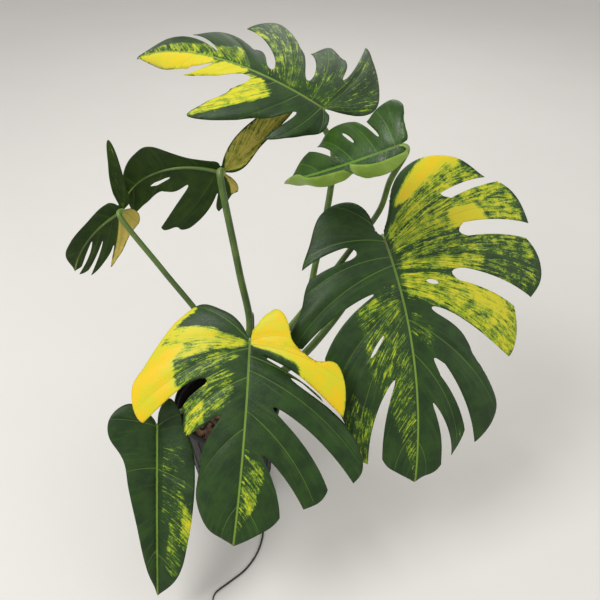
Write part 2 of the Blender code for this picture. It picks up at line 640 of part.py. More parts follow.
def make_sheath(name, petiole, collection, material):
    """A dried sheath: a strip that wraps one side of a petiole and narrows to a point."""
    points, radii = petiole_path(petiole)
    q = np.linspace(*SHEATH_SPAN, 9) * (len(points) - 1)
    axis, radius = smooth_path(points, q), np.interp(q, range(len(radii)), radii)
    form = bmesh.new()
    rows = []
    wraps = np.linspace(1, 0.12, len(q)) * radians(SHEATH_WRAP)
    for k, (centre, r, wrap) in enumerate(zip(axis, radius, wraps)):
        along = axis[min(k + 1, len(q) - 1)] - axis[max(k - 1, 0)]
        along /= np.linalg.norm(along)
        side = np.cross(along, (0, 1, 0))
        side /= np.linalg.norm(side)
        front = np.cross(side, along)
        row = []
        for turn in np.linspace(-wrap / 2, wrap / 2, 7) - radians(20):
            place = centre + (r + 4 * GAP) * (cos(turn) * -side + sin(turn) * front)
            row.append(form.verts.new(place))
        rows.append(row)
    for lower, upper in zip(rows, rows[1:]):
        for k in range(len(lower) - 1):
            form.faces.new((lower[k], lower[k + 1], upper[k + 1], upper[k]))
    mesh = bpy.data.meshes.new(name)
    form.to_mesh(mesh)
    form.free()
    obj = add_object(name, mesh, collection, material)
    solidify = obj.modifiers.new("thickness", "SOLIDIFY")
    solidify.thickness = SHEATH_THICKNESS
    solidify.offset = -1 if outward_is_back(mesh, axis[0]) else 1
    return obj


def outward_is_back(mesh, centre):
    """Whether the strip's faces point towards the petiole's axis."""
    face = mesh.polygons[0]
    return face.normal.dot(face.center - Vector(centre)) < 0


def make_root(collection, material):
    """A loose root that leaves a drainage notch and lies along the surface."""
    turn = radians(ROOT_ANGLE)
    start = (POT_FOOT_RADIUS + ROOT_RADIUS + 2 * GAP) * np.array([cos(turn), sin(turn)])
    knots = [start, *(start + point for point in np.array(ROOT_POINTS))]
    path = smooth_path(knots, np.linspace(0, len(knots) - 1, ROOT_STEPS))
    height = np.full(ROOT_STEPS, ROOT_RADIUS + GAP)
    points = np.column_stack([path, height])
    radii = np.interp(np.linspace(0, 1, ROOT_STEPS), (0, 0.8, 1), (ROOT_RADIUS, ROOT_RADIUS, ROOT_RADIUS * 0.4))
    return tube("trailing_root", points, radii, collection, material)


def make_stem(collection, material):
    """The short cane that the petioles stand round."""
    shares = np.linspace(0, 1, 6)
    taper = np.array((1, 1, 1, 1, 0.9, 0.6)) * STEM_RADIUS
    return tube("main_stem", [stem_point(share) for share in shares], taper, collection, material)


def main():
    clear_scene()
    plant = new_collection("potted_monstera")
    cutters = new_collection("cutters")
    green = new_material("petiole_green", (0.10, 0.19, 0.03), 0.45)
    leaf = new_material("leaf_green", (0.03, 0.11, 0.02), 0.4)
    bright = new_material("young_leaf_green", (0.09, 0.26, 0.01), 0.3)
    make_pot(plant, cutters, new_material("pot_plastic", (0.012, 0.012, 0.013), 0.5))
    make_soil(plant, new_material("soil", (0.03, 0.02, 0.014), 0.95))
    make_chips(plant, new_material("bark", (0.14, 0.07, 0.035), 0.9))
    make_stem(plant, new_material("stem_green", (0.12, 0.16, 0.05), 0.6))
    for name, spec in PETIOLES.items():
        points, radii = petiole_path(name)
        tube(name, points, radii, plant, green)
        make_blade(spec["blade"], plant, bright if spec["blade"] == "leaf_young" else leaf)
    make_sheath("dry_sheath", "petiole_left", plant, new_material("dry_sheath", (0.16, 0.05, 0.02), 0.7))
    make_root(plant, new_material("root", (0.05, 0.03, 0.02), 0.8))


main()
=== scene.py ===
# %% [markdown]
# A potted monstera
#
# The plant stands in a black nursery pot. Seven leaves on long petioles rise from one short cane.
# A CAD model gives every size and place. This script builds the fine version round it:
# thin blades with veins and yellow marbling, fleshy petioles, a ribbed pot, compost and a root.

# %% Load the frame
import json
from math import cos, pi, radians, sin

import bmesh
import bpy
import numpy as np
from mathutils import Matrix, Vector, noise
from mathutils.geometry import delaunay_2d_cdt

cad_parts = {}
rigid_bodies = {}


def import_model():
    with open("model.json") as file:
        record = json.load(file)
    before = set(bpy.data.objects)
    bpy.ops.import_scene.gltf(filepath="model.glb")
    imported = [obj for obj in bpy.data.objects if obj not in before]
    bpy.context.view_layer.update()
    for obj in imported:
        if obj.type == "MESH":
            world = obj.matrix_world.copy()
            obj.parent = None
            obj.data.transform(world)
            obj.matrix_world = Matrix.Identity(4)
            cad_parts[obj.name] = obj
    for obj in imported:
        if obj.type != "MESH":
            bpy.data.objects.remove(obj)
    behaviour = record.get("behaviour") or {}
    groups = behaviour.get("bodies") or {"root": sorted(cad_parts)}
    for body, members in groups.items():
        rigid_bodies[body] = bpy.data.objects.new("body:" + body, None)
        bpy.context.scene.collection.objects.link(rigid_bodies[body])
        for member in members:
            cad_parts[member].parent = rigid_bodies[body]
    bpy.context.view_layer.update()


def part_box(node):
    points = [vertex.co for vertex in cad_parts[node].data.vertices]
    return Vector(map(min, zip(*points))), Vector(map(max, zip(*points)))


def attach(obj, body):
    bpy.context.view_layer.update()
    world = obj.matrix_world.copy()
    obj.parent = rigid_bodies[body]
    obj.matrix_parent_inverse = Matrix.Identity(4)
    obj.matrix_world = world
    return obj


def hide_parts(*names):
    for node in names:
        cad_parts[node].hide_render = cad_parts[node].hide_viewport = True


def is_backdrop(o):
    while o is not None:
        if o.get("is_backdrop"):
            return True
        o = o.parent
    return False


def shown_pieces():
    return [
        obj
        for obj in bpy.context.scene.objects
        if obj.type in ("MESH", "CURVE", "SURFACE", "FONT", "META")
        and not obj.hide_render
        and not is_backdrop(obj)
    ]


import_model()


# %% [markdown]
# Camera and light
#
# The camera looks down on the plant from in front, so that every blade shows its face. It comes
# first, because everything is seen through it. One large soft area light from the upper left
# stands for a window, a weaker one fills the right, and a pale world keeps the shadows open.
# The Standard view keeps the yellows as strong as they are, where AgX would wash them out.

# %% Camera
view = bpy.data.cameras.new("view")
view.lens = 37.5
view.sensor_width = 36
view.clip_end = 50
camera = bpy.data.objects.new("view", view)
camera.location = (0.121, -0.699, 0.975)
camera.rotation_euler = (radians(90 - 39.5), 0, 0)
bpy.context.scene.collection.objects.link(camera)
bpy.context.scene.camera = camera
print("the camera is", round(camera.location.length, 2), "m from the pot's foot")

# %% Lights
def soft_light(name, place, aim, size, power):
    lamp = bpy.data.lights.new(name, "AREA")
    lamp.size = size
    lamp.energy = power
    holder = bpy.data.objects.new(name, lamp)
    holder.location = place
    holder.rotation_euler = (Vector(aim) - Vector(place)).to_track_quat("-Z", "Y").to_euler()
    bpy.context.scene.collection.objects.link(holder)


soft_light("window", (-1.3, -0.7, 2.4), (0.05, 0, 0.35), 1.2, 46)
soft_light("fill", (1.9, -0.8, 1.5), (0.05, 0, 0.35), 1.6, 9)
soft_light("back", (0.4, 2.0, 1.9), (0.05, 0, 0.4), 1.6, 14)
sky = bpy.data.worlds.new("room")
sky.use_nodes = True
sky.node_tree.nodes["Background"].inputs["Color"].default_value = (1, 0.985, 0.96, 1)
sky.node_tree.nodes["Background"].inputs["Strength"].default_value = 0.6
bpy.context.scene.world = sky
bpy.context.scene.view_settings.view_transform = "Standard"

# %% [markdown]
# Small helpers for materials
#
# Every finish here is made of nodes: a Principled shader with colour, roughness and bump that come
# from patterns. These helpers only save typing, by adding a node and wiring or setting its inputs.

# %% Material helpers
def start_material(name, roughness=0.5):
    material = bpy.data.materials.new(name)
    material.use_nodes = True
    tree = material.node_tree
    shader = tree.nodes["Principled BSDF"]
    shader.inputs["Roughness"].default_value = roughness
    return material, tree, shader


def fill_in(made, **inputs):
    """Links or sets inputs by name, with _ for a space, or by number, as i0."""
    for key, value in inputs.items():
        by_number = key[0] == "i" and key[1:].isdigit()
        socket = made.inputs[int(key[1:]) if by_number else key.replace("_", " ")]
        if isinstance(value, bpy.types.NodeSocket):
            made.id_data.links.new(value, socket)
        else:
            socket.default_value = value
    return made


def node(tree, kind, settings=(), **inputs):
    made = tree.nodes.new(kind)
    for key, value in dict(settings).items():
        setattr(made, key, value)
    return fill_in(made, **inputs)


def maths(tree, operation, a, b, clamp=False):
    return node(tree, "ShaderNodeMath", {"operation": operation, "use_clamp": clamp}, i0=a, i1=b).outputs[0]


def plus(tree, a, b):
    return maths(tree, "ADD", a, b)


def minus(tree, a, b, clamp=False):
    return maths(tree, "SUBTRACT", a, b, clamp)


def times(tree, a, b):
    return maths(tree, "MULTIPLY", a, b)


def blend_colours(tree, share, a, b):
    a, b = [c if isinstance(c, bpy.types.NodeSocket) else (*c, 1) for c in (a, b)]
    return node(tree, "ShaderNodeMix", {"data_type": "RGBA"}, i0=share, i6=a, i7=b).outputs[2]


def step_up(tree, value, low, high):
    """0 below low, 1 above high, smooth between."""
    smooth = {"interpolation_type": "SMOOTHSTEP"}
    return node(tree, "ShaderNodeMapRange", smooth, Value=value, From_Min=low, From_Max=high).outputs[0]


def attribute(tree, name, output="Fac"):
    return node(tree, "ShaderNodeAttribute", {"attribute_name": name}).outputs[output]


def uv_map(tree, name):
    return node(tree, "ShaderNodeUVMap", {"uv_map": name}).outputs[0]


def object_place(tree):
    return node(tree, "ShaderNodeTexCoord").outputs["Object"]


def stretched(tree, vector, scale):
    scale = scale if isinstance(scale, tuple) else (scale,) * 3
    return node(tree, "ShaderNodeMapping", Vector=vector, Scale=scale).outputs[0]


def speckle(tree, vector, scale, detail=4.0, roughness=0.6):
    """Noise with about scale lumps to the metre, along each axis or along all of them."""
    where = stretched(tree, vector, scale)
    lumps = node(tree, "ShaderNodeTexNoise", Vector=where, Scale=1.0, Detail=detail, Roughness=roughness)
    return lumps.outputs["Fac"]


def surface(tree, shader, colour, height, strength, depth):
    bump = node(tree, "ShaderNodeBump", Height=height, Strength=strength, Distance=depth)
    fill_in(shader, Base_Color=colour, Normal=bump.outputs[0])


print("helpers for materials are ready")

# %% [markdown]
# The plan of a blade
#
# A monstera blade is a heart whose edge is split between the side veins. It could be cut from a
# flat sheet and bent, but its splits follow the veins, so it is described by the veins instead.
# Each rib leaves the midrib at a share of its length and at an angle, and has a reach. A smooth
# curve through the ribs gives the edge. A split follows some of the ribs.

# %% The blades, as fans of ribs
SOIL_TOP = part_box("potting_soil")[1].z

# Rib: share along the midrib, angle, reach, tilt, curl, and where a split follows, its start and width.
# "left" is the half on the left of somebody who stands at the petiole and looks along the midrib.
# Yellow: half, first and last rib, inner and outer share of the reach, and how yellow it is there.
BLADES = {
    "leaf_front": {
        "base": (0.052, -0.072, 0.232), "heading": -92, "pitch": -40, "roll": 0,
        "midrib": 0.278, "arch": 14, "sway": -6, "sweep": 34,
        "left": (
            (0, 176, 0.04, 0, 0), (0, 174, 0.09, 10, 20), (0, 166, 0.17, 15, 20),
            (0, 150, 0.22, 20, 20), (0, 108, 0.22, 20, 20), (0, 92, 0.34, 20, 25),
            (0.01, 94, 0.46, 20, 30), (0.03, 72, 0.59, 15, 35, 0.12, 0.015),
            (0.07, 74, 0.54, -5, 10, 0.41, 0.04),
            (0.13, 78, 0.57, 5, 20), (0.14, 70, 0.74, 5, 20), (0.17, 64, 0.75, 5, 20, 0.22, 0.04),
            (0.32, 64, 0.61, 5, 20), (0.36, 52, 0.55, 5, 20, 0.28, 0.035),
            (0.58, 54, 0.36, 5, 15), (0.8, 54, 0.17, 5, 10), (1, 40, 0, 0, 0),
        ),
        "right": (
            (0, 176, 0.04, 0, 0), (0, 164, 0.11, 10, 20), (0, 156, 0.20, 10, 25),
            (0, 144, 0.32, 10, 30), (0, 126, 0.38, 8, 30), (0.01, 110, 0.46, 5, 25),
            (0.02, 96, 0.56, 5, 25), (0.03, 86, 0.65, 5, 25), (0.05, 72, 0.66, 5, 25, 0.44, 0.09),
            (0.14, 74, 0.41, 5, 20), (0.21, 64, 0.41, 5, 20, 0.4, 0.03),
            (0.36, 58, 0.34, 5, 20), (0.45, 50, 0.41, 5, 20), (0.6, 42, 0.35, 5, 15),
            (0.8, 38, 0.18, 5, 10), (1, 40, 0, 0, 0),
        ),
        "holes": (),
        "yellow": (
            ("left", 0, 7.4, 0, 1, 1.25), ("left", 6.6, 7.6, 0.0, 0.5, -1.1),
            ("right", 0, 4.0, 0, 1, 0.1), ("right", 0.6, 2.2, 0.4, 0.75, 0.38),
            ("right", 4.5, 7.0, 0.02, 1, 0.64), ("right", 4.5, 5.6, 0.35, 0.8, 0.84),
            ("right", 3.3, 8.4, 0.9, 1.3, 0.9),
            ("right", 5.6, 8.3, 0.6, 1.1, 1.2), ("right", 6.9, 8.4, 0.05, 0.62, 0.44),
            ("right", 8.4, 10.4, 0.15, 1, 0.44), ("right", 9.2, 10.4, 0.6, 1, 0.56),
            ("left", 13.6, 16, 0, 0.45, 0.44), ("left", 14.4, 15.2, 0.12, 0.5, 0.55),
            ("right", 13.5, 15, 0.3, 0.9, 0.25),
        ),
    },
    "leaf_right": {
        "base": (0.239, 0.030, 0.332), "heading": -60, "pitch": -46, "roll": 17,
        "midrib": 0.351, "arch": 8, "sway": -25, "sweep": 40,
        "left": (
            (0, 176, 0.035, 0, 0), (0, 172, 0.07, 10, 20), (0, 172, 0.21, 12, 25),
            (0, 158, 0.35, 12, 30), (0, 138, 0.48, 10, 30), (0.02, 124, 0.55, 8, 30, 0.54, 0.065),
            (0.05, 122, 0.61, 6, 25), (0.06, 104, 0.65, 6, 25, 0.46, 0.055),
            (0.1, 102, 0.66, 5, 25), (0.11, 90, 0.68, 5, 25), (0.12, 82, 0.64, 5, 25, 0.38, 0.055),
            (0.16, 80, 0.58, 5, 25), (0.2, 64, 0.58, 5, 25, 0.27, 0.035),
            (0.3, 68, 0.34, 5, 20), (0.33, 56, 0.55, 5, 20), (0.36, 40, 0.58, 5, 20, 0.25, 0.045),
            (0.45, 44, 0.45, 5, 20), (0.5, 36, 0.45, 5, 20, 0.3, 0.03),
            (0.68, 38, 0.29, 5, 15), (0.85, 34, 0.13, 5, 10), (1, 40, 0, 0, 0),
        ),
        "right": (
            (0, 176, 0.035, 0, 0), (0, 184, 0.12, 10, 15), (0, 180, 0.19, 12, 25),
            (0, 168, 0.24, 12, 30), (0, 150, 0.28, 10, 30), (0.01, 128, 0.31, 8, 30),
            (0.02, 112, 0.365, 8, 30, 0.36, 0.065),
            (0.07, 110, 0.365, 6, 25), (0.08, 98, 0.425, 6, 25), (0.1, 90, 0.56, 6, 25),
            (0.13, 86, 0.5, 6, 25, 0.25, 0.02),
            (0.24, 84, 0.43, 5, 20), (0.26, 60, 0.55, 5, 20), (0.3, 56, 0.62, 5, 20),
            (0.34, 46, 0.62, 5, 20, 0.28, 0.04),
            (0.6, 48, 0.36, 5, 15), (0.8, 50, 0.18, 5, 10), (1, 40, 0, 0, 0),
        ),
        "holes": (("left", 11.3, 0.24, 0.05, 0.018), ("right", 12.8, 0.31, 0.1, 0.024)),
        "yellow": (
            ("left", 3.25, 4.15, 0.34, 1.1, 1.1), ("left", 3.8, 5.5, 0, 1, 0.54),
            ("left", 5.4, 7.5, 0, 1, 0.54), ("left", 6.3, 7.35, 0.42, 0.7, 0.92),
            ("left", 7.4, 9.0, 0, 1, 0.46), ("left", 8.8, 10.5, 0, 0.6, 0.56),
            ("left", 8.8, 10.5, 0.55, 1, 0.43), ("left", 10.6, 12.4, 0, 1.1, 0.58),
            ("left", 10.8, 11.7, 0.45, 0.9, 0.7), ("left", 12.8, 15.4, 0, 0.25, 0.36),
            ("left", 13, 20, 0, 1, 0.12),
            ("left", 15.6, 17.4, 0.3, 1, 0.22),
            ("right", 10.4, 17, 0, 0.5, 0.41), ("right", 12.2, 14.4, 0.6, 1.1, 0.42),
        ),
    },
    "leaf_low_left": {
        "base": (-0.086, -0.116, 0.104), "heading": -90, "pitch": -48, "roll": 0,
        "midrib": 0.247, "arch": 6, "sway": 0, "sweep": 26,
        "left": (
            (0, 176, 0.03, 10, 0), (0, 180, 0.12, 25, 10), (0, 168, 0.2, 25, 10),
            (0, 148, 0.2, 28, 15), (0.02, 116, 0.18, 28, 20), (0.12, 88, 0.25, 26, 20),
            (0.3, 78, 0.27, 24, 15), (0.5, 68, 0.25, 22, 15), (0.75, 60, 0.18, 20, 10),
            (1, 30, 0, 0, 0),
        ),
        "right": (
            (0, 176, 0.03, 10, 0), (0, 158, 0.1, 15, 10), (0, 148, 0.2, 20, 15),
            (0, 132, 0.25, 25, 20), (0, 112, 0.28, 25, 20), (0.05, 100, 0.27, 25, 20),
            (0.2, 104, 0.19, 25, 15), (0.32, 90, 0.165, 25, 15), (0.5, 72, 0.135, 22, 15),
            (0.75, 40, 0.11, 20, 10), (1, 30, 0, 0, 0),
        ),
        "holes": (),
        "yellow": (
            ("left", 4.6, 7.2, 0.12, 0.8, 0.34), ("left", 6.0, 8.2, 0.35, 1, 0.39),
            ("left", 6.2, 7.3, 0.7, 1.1, 0.62), ("right", 7, 9, 0, 0.6, 0.2),
        ),
    },
    "leaf_far_left": {
        "base": (-0.141, 0.100, 0.336), "heading": 180, "pitch": -30, "roll": 80,
        "midrib": 0.16, "arch": 0, "sway": -40, "sweep": 16,
        "left": (
            (0, 176, 0.075, 0, 0), (0, 146, 0.25, 0, 0), (0, 138, 0.45, 0, 0),
            (0, 130, 0.75, 0, 0), (0, 124, 0.47, 0, 0), (0, 114, 0.2, 0, 0, 0.4, 0.02),
            (0.05, 100, 0.15, -5, 10), (0.2, 62, 0.16, -5, 10), (0.45, 48, 0.21, -5, 10),
            (0.7, 46, 0.17, -5, 10), (1, 30, 0, 0, 0),
        ),
        "right": (
            (0, 176, 0.075, 0, 0), (0, 110, 0.19, 0, 0), (0, 70, 0.3, 0, 0),
            (0.02, 54, 0.57, 0, 0), (0.04, 48, 0.76, 0, 0, 0.6, 0.025),
            (0.12, 44, 0.62, 0, 0), (0.15, 36, 0.82, 0, 0, 0.35, 0.025),
            (0.28, 32, 0.7, 0, 0), (0.32, 26, 0.7, 0, 0, 0.2, 0.05),
            (0.6, 24, 0.32, 0, 0), (1, 30, 0, 0, 0),
        ),
        "holes": (),
        "yellow": (("right", 0, 4.2, 0, 1, 0.95), ("left", 1, 4, 0, 1, 0.3)),
    },
    "leaf_left": {
        "base": (0.009, 0.120, 0.388), "heading": 180, "pitch": 20, "roll": 80,
        "midrib": 0.18, "arch": 0, "sway": -80, "sweep": 20,
        "left": (
            (0, 176, 0.07, 0, 0), (0, 142, 0.3, 10, 0), (0, 134, 0.55, 12, 0),
            (0, 128, 0.8, 15, 0), (0, 110, 0.48, 10, 0), (0, 94, 0.23, 5, 0, 0.3, 0.02),
            (0.06, 80, 0.09, -5, 10), (0.2, 66, 0.11, -5, 10), (0.45, 96, 0.27, -5, 10),
            (0.65, 112, 0.23, -5, 10), (0.85, 90, 0.09, -5, 10), (1, 30, 0, 0, 0),
        ),
        "right": (
            (0, 176, 0.07, 0, 0), (0, 150, 0.22, 0, 0), (0, 130, 0.25, 0, 0),
            (0, 110, 0.42, 0, 0, 0.39, 0.035), (0.03, 90, 0.77, 0, 0), (0.05, 82, 0.77, 0, 0),
            (0.08, 74, 0.84, 0, 0, 0.38, 0.055),
            (0.3, 56, 0.38, 0, 0), (0.5, 50, 0.41, 0, 0), (0.8, 42, 0.31, 0, 0), (1, 30, 0, 0, 0),
        ),
        "holes": (("right", 7.9, 0.36, 0.055, 0.22),),
        "yellow": (("left", 0.5, 5.2, 0, 1, 0.62), ("right", 0, 1.9, 0, 1, 1.0)),
    },
    "leaf_top": {
        "base": (0.151, 0.085, 0.498), "heading": 155, "pitch": 24, "roll": -15,
        "midrib": 0.373, "arch": 55, "sway": -10, "sweep": 34,
        "left": (
            (0, 176, 0.035, 0, 0), (0, 140, 0.09, -5, 20), (0, 112, 0.12, -5, 25),
            (0, 94, 0.17, -5, 25), (0.02, 82, 0.23, -5, 30, 0.37, 0.025),
            (0.06, 72, 0.19, -8, 20), (0.1, 68, 0.27, -8, 20), (0.13, 58, 0.39, -8, 20),
            (0.18, 54, 0.28, -8, 20), (0.22, 56, 0.15, -8, 20, 0.3, 0.06),
            (0.33, 50, 0.12, -12, 10), (0.38, 36, 0.23, -12, 10, 0.2, 0.02),
            (0.5, 42, 0.12, -20, 10), (0.66, 46, 0.11, -25, 10), (0.82, 42, 0.07, -25, 10),
            (1, 30, 0, 0, 0),
        ),
        "right": (
            (0, 176, 0.035, 0, 0), (0, 164, 0.165, 10, 20), (0, 134, 0.265, 10, 25),
            (0, 112, 0.365, 10, 25), (0, 102, 0.43, 10, 30, 0.43, 0.035),
            (0.04, 102, 0.295, 10, 25), (0.05, 90, 0.32, 10, 25), (0.06, 80, 0.295, 10, 40, 0.26, 0.035),
            (0.12, 82, 0.25, 8, 25), (0.14, 70, 0.425, 6, 25), (0.17, 56, 0.44, 6, 35, 0.15, 0.04),
            (0.26, 64, 0.165, 6, 20), (0.3, 50, 0.3, 6, 20), (0.36, 34, 0.31, 6, 20, 0.2, 0.02),
            (0.52, 38, 0.22, 6, 10), (0.7, 40, 0.18, 6, 10), (1, 30, 0, 0, 0),
        ),
        "holes": (),
        "yellow": (
            ("left", 6.9, 9.6, 0.15, 1, 0.64), ("left", 9.6, 11.5, 0, 1, 0.84),
            ("left", 11.5, 15, 0, 1, 1.0), ("left", 4.5, 6.6, 0.1, 1, 0.2),
            ("right", 0, 8, 0, 1, 0.34), ("right", 8, 11, 0, 1, 0.4), ("right", 9.6, 10.4, 0.2, 0.9, 0.5),
            ("right", 11, 16, 0, 1, 0.2), ("right", 12, 16, 0, 0.45, 0.48),
        ),
    },
    "leaf_young": {
        "base": (0.234, -0.034, 0.503), "heading": 160, "pitch": -30, "roll": -45,
        "midrib": 0.169, "arch": 10, "sway": -10, "sweep": 30,
        "left": (
            (0, 170, 0.05, -20, -60), (0, 130, 0.27, -20, -130), (0.05, 92, 0.46, -20, -150),
            (0.12, 66, 0.46, -20, -150, 0.3, 0.03),
            (0.3, 80, 0.27, -20, -150), (0.42, 62, 0.44, -20, -150), (0.6, 46, 0.38, -15, -140),
            (1, 30, 0, 0, 0),
        ),
        "right": (
            (0, 176, 0.065, 0, 0), (0, 130, 0.15, 10, 20), (0, 118, 0.3, 10, 25),
            (0, 104, 0.37, 10, 25), (0.02, 90, 0.35, 10, 25), (0.05, 72, 0.325, 8, 20, 0.33, 0.04),
            (0.12, 70, 0.42, 3, 20), (0.2, 66, 0.47, 0, 20), (0.3, 60, 0.49, 0, 20),
            (0.4, 52, 0.44, 0, 20, 0.2, 0.03),
            (0.5, 50, 0.33, 5, 10), (0.7, 42, 0.24, 0, 10), (1, 30, 0, 0, 0),
        ),
        "holes": (("right", 7.6, 0.5, 0.16, 0.028),),
        "yellow": (),
    },
}
print(len(BLADES), "blades, with midribs of", [round(b["midrib"] * 1000) for b in BLADES.values()], "mm")

# %% [markdown]
# From ribs to a surface
#
# A point on the blade is a rib number q and a share f of that rib's reach. The midrib is walked in
# short steps so that it can arch and sway. Each rib is then laid off from it, tilted and curled.
# The same rule without tilt and curl unrolls the blade flat, which is where it is cut and meshed.

# %% Curves and turns
def rotation(axis, angle):
    x, y, z = axis
    skew = np.array([[0, -z, y], [z, 0, -x], [-y, x, 0]])
    return np.eye(3) + sin(angle) * skew + (1 - cos(angle)) * (skew @ skew)


def unit(vectors):
    return vectors / np.linalg.norm(vectors, axis=-1, keepdims=True)


def smooth_path(points, q):
    """Points of a curve that goes through the given ones at q = 0, 1, 2 and so on."""
    points = np.asarray(points, float)
    last = len(points) - 1
    q = np.clip(np.asarray(q, float), 0, last)
    i = np.minimum(q.astype(int), last - 1)
    t = (q - i).reshape((-1,) + (1,) * (points.ndim - 1))
    here, after = points[i], points[i + 1]
    slope_here = (after - points[np.maximum(i - 1, 0)]) / np.where(i == 0, 1, 2).reshape(t.shape)
    slope_after = (points[np.minimum(i + 2, last)] - here) / np.where(i + 2 > last, 1, 2).reshape(t.shape)
    rise = (2 * t**3 - 3 * t**2 + 1) * here + (t**3 - 2 * t**2 + t) * slope_here
    return rise + (3 * t**2 - 2 * t**3) * after + (t**3 - t**2) * slope_after


print("a curve through three points, half way:", smooth_path([[0, 0], [1, 1], [2, 0]], [0.5])[0])

# %% The blade's surface
SIDES = {"left": 1, "right": -1}


class Blade:
    MIDRIB_STEPS = 40

    def __init__(self, plan):
        self.midrib = plan["midrib"]
        self.sweep = radians(plan["sweep"])
        self.ribs = {1: plan["left"], -1: plan["right"]}
        self.holes = [(SIDES[side], *rest) for side, *rest in plan["holes"]]
        self.yellow = [(SIDES[side], *rest) for side, *rest in plan["yellow"]]
        self.base = np.array(plan["base"]) + (0, 0, SOIL_TOP)
        heading, pitch = radians(plan["heading"]), radians(plan["pitch"])
        along = np.array([cos(pitch) * cos(heading), cos(pitch) * sin(heading), sin(pitch)])
        up = np.array([-sin(pitch) * cos(heading), -sin(pitch) * sin(heading), cos(pitch)])
        self.up = rotation(along, radians(plan["roll"])) @ up
        across = np.cross(self.up, along)
        self.share = np.linspace(0, 1, self.MIDRIB_STEPS + 1)
        arch, sway = radians(plan["arch"]), radians(plan["sway"])
        turns = [rotation(across, arch * s) @ rotation(self.up, sway * s) for s in self.share]
        self.frames = np.array([[turn @ along, turn @ self.up, turn @ across] for turn in turns])
        middles = (self.frames[:-1, 0] + self.frames[1:, 0]) / 2
        steps = np.vstack([np.zeros(3), middles]) * self.midrib / self.MIDRIB_STEPS
        self.spine = self.base + np.cumsum(steps, axis=0)

    def rib(self, side, q):
        rows = smooth_path([row[:5] for row in self.ribs[side]], q)
        rows[:, 0] = np.clip(rows[:, 0], 0, 1)
        rows[:, 2] *= self.midrib
        rows[:, [1, 3, 4]] = np.radians(rows[:, [1, 3, 4]])
        return rows.T

    def on_spine(self, share):
        return np.stack([np.interp(share, self.share, self.spine[:, k]) for k in range(3)], 1)

    def place(self, side, q, f, flat=False):
        q, f = np.broadcast_arrays(np.atleast_1d(q).astype(float), np.atleast_1d(f).astype(float))
        along, angle, reach, tilt, curl = self.rib(side, q)
        bend = self.sweep * f / 2
        length = reach * f * np.sinc(bend / pi)
        if flat:
            x = along * self.midrib + length * np.cos(angle - bend)
            return np.stack([x, side * length * np.sin(angle - bend)], 1)
        half = curl * f / 2
        out = length * np.sinc(half / pi) * np.cos(tilt - half)
        lift = reach * f * np.sinc(half / pi) * np.sin(tilt - half)
        axes = [np.interp(along, self.share, self.frames[:, a, k]) for a in range(3) for k in range(3)]
        axes = np.stack(axes, 1).reshape(-1, 3, 3)
        sideways = (side * out * np.sin(angle - bend))[:, None] * axes[:, 2]
        forward = (out * np.cos(angle - bend))[:, None] * axes[:, 0]
        return self.on_spine(along) + forward + sideways + lift[:, None] * axes[:, 1]

    def spacing(self, side, q, f):
        """Metres per unit of q there, on the flat blade."""
        q, f = np.atleast_1d(q).astype(float), np.atleast_1d(f).astype(float)
        apart = self.place(side, q + 0.02, f, flat=True) - self.place(side, q - 0.02, f, flat=True)
        return np.maximum(np.linalg.norm(apart, axis=1) / 0.04, 0.004)


front = Blade(BLADES["leaf_front"])
print("the front blade's tip is at", front.spine[-1].round(3))

# %% [markdown]
# The edge, the splits and the holes
#
# Growth leaves each split narrow and round inside, and open at the margin, with a soft shoulder on
# the lobe that follows. The outline is traced in (q, f), so that it bends with the blade.

# %% Outlines
SHOULDER, SHOULDER_RIBS = 0.06, 0.6
HAIR = 0.08
MARGIN_POINTS, SPLIT_POINTS, HOLE_POINTS = 12, 26, 28


def edge_reach(blade, side, q):
    share = np.ones_like(q)
    for i, row in enumerate(blade.ribs[side]):
        if len(row) > 5:
            t = np.clip((q - i - 1) / SHOULDER_RIBS, 0, 1)
            share = np.where(q >= i + 1, share - SHOULDER * (1 - t) ** 2, share)
    return share


def split_half(blade, side, i, start, width, t):
    apart = blade.spacing(side, i + 0.5, start + (1 - start) * t)[0]
    return min(0.5, 1.3 * width * blade.midrib * t**0.5 * (1 - t) / apart + 0.5 * t**2)


def outline(blade, side):
    rows = blade.ribs[side]
    splits = [(i, row[5], row[6]) for i, row in enumerate(rows) if len(row) > 5]
    points, begin = [], 0.0
    for i, start, width in splits + [(len(rows) - 1, None, None)]:
        q = np.linspace(begin, i, max(3, int((i - begin) * MARGIN_POINTS) + 1))
        points += list(zip(q, edge_reach(blade, side, q)))
        if start is None:
            break
        far = edge_reach(blade, side, np.array([i + 1.0]))[0]
        t = np.linspace(0, 1, SPLIT_POINTS) ** 1.3
        half = [split_half(blade, side, i, start, width, s) for s in t]
        points += [(i + 0.5 - h, start + (1 - start) * s) for s, h in zip(t, half)][-2::-1]
        points += [(i + 0.5 + h, start + (far - start) * s) for s, h in zip(t, half)][1:-1]
        begin = i + 1.0
    return blunted(np.array(points), rows)


def blunted(points, rows):
    """A lobe with a single rib, between two splits, would end in a hair. Its tip is cut off."""
    for i in range(1, len(rows)):
        if len(rows[i - 1]) > 5 and len(rows[i]) > 5:
            points = points[abs(points[:, 0] - i) > HAIR]
    return points


def hole_ring(blade, side, q, f, length, width):
    ends = blade.place(side, [q, q], [f - 0.02, f + 0.02], flat=True)
    per_f = np.linalg.norm(ends[1] - ends[0]) / 0.04
    turn = np.linspace(0, 2 * pi, HOLE_POINTS, endpoint=False)
    half_q = 0.5 * width * blade.midrib / blade.spacing(side, q, f)
    half_f = 0.5 * length * blade.midrib / per_f
    return np.stack([q + half_q * np.sin(turn), f + half_f * np.cos(turn)], 1)


print("the front blade's left edge has", len(outline(front, 1)), "points")

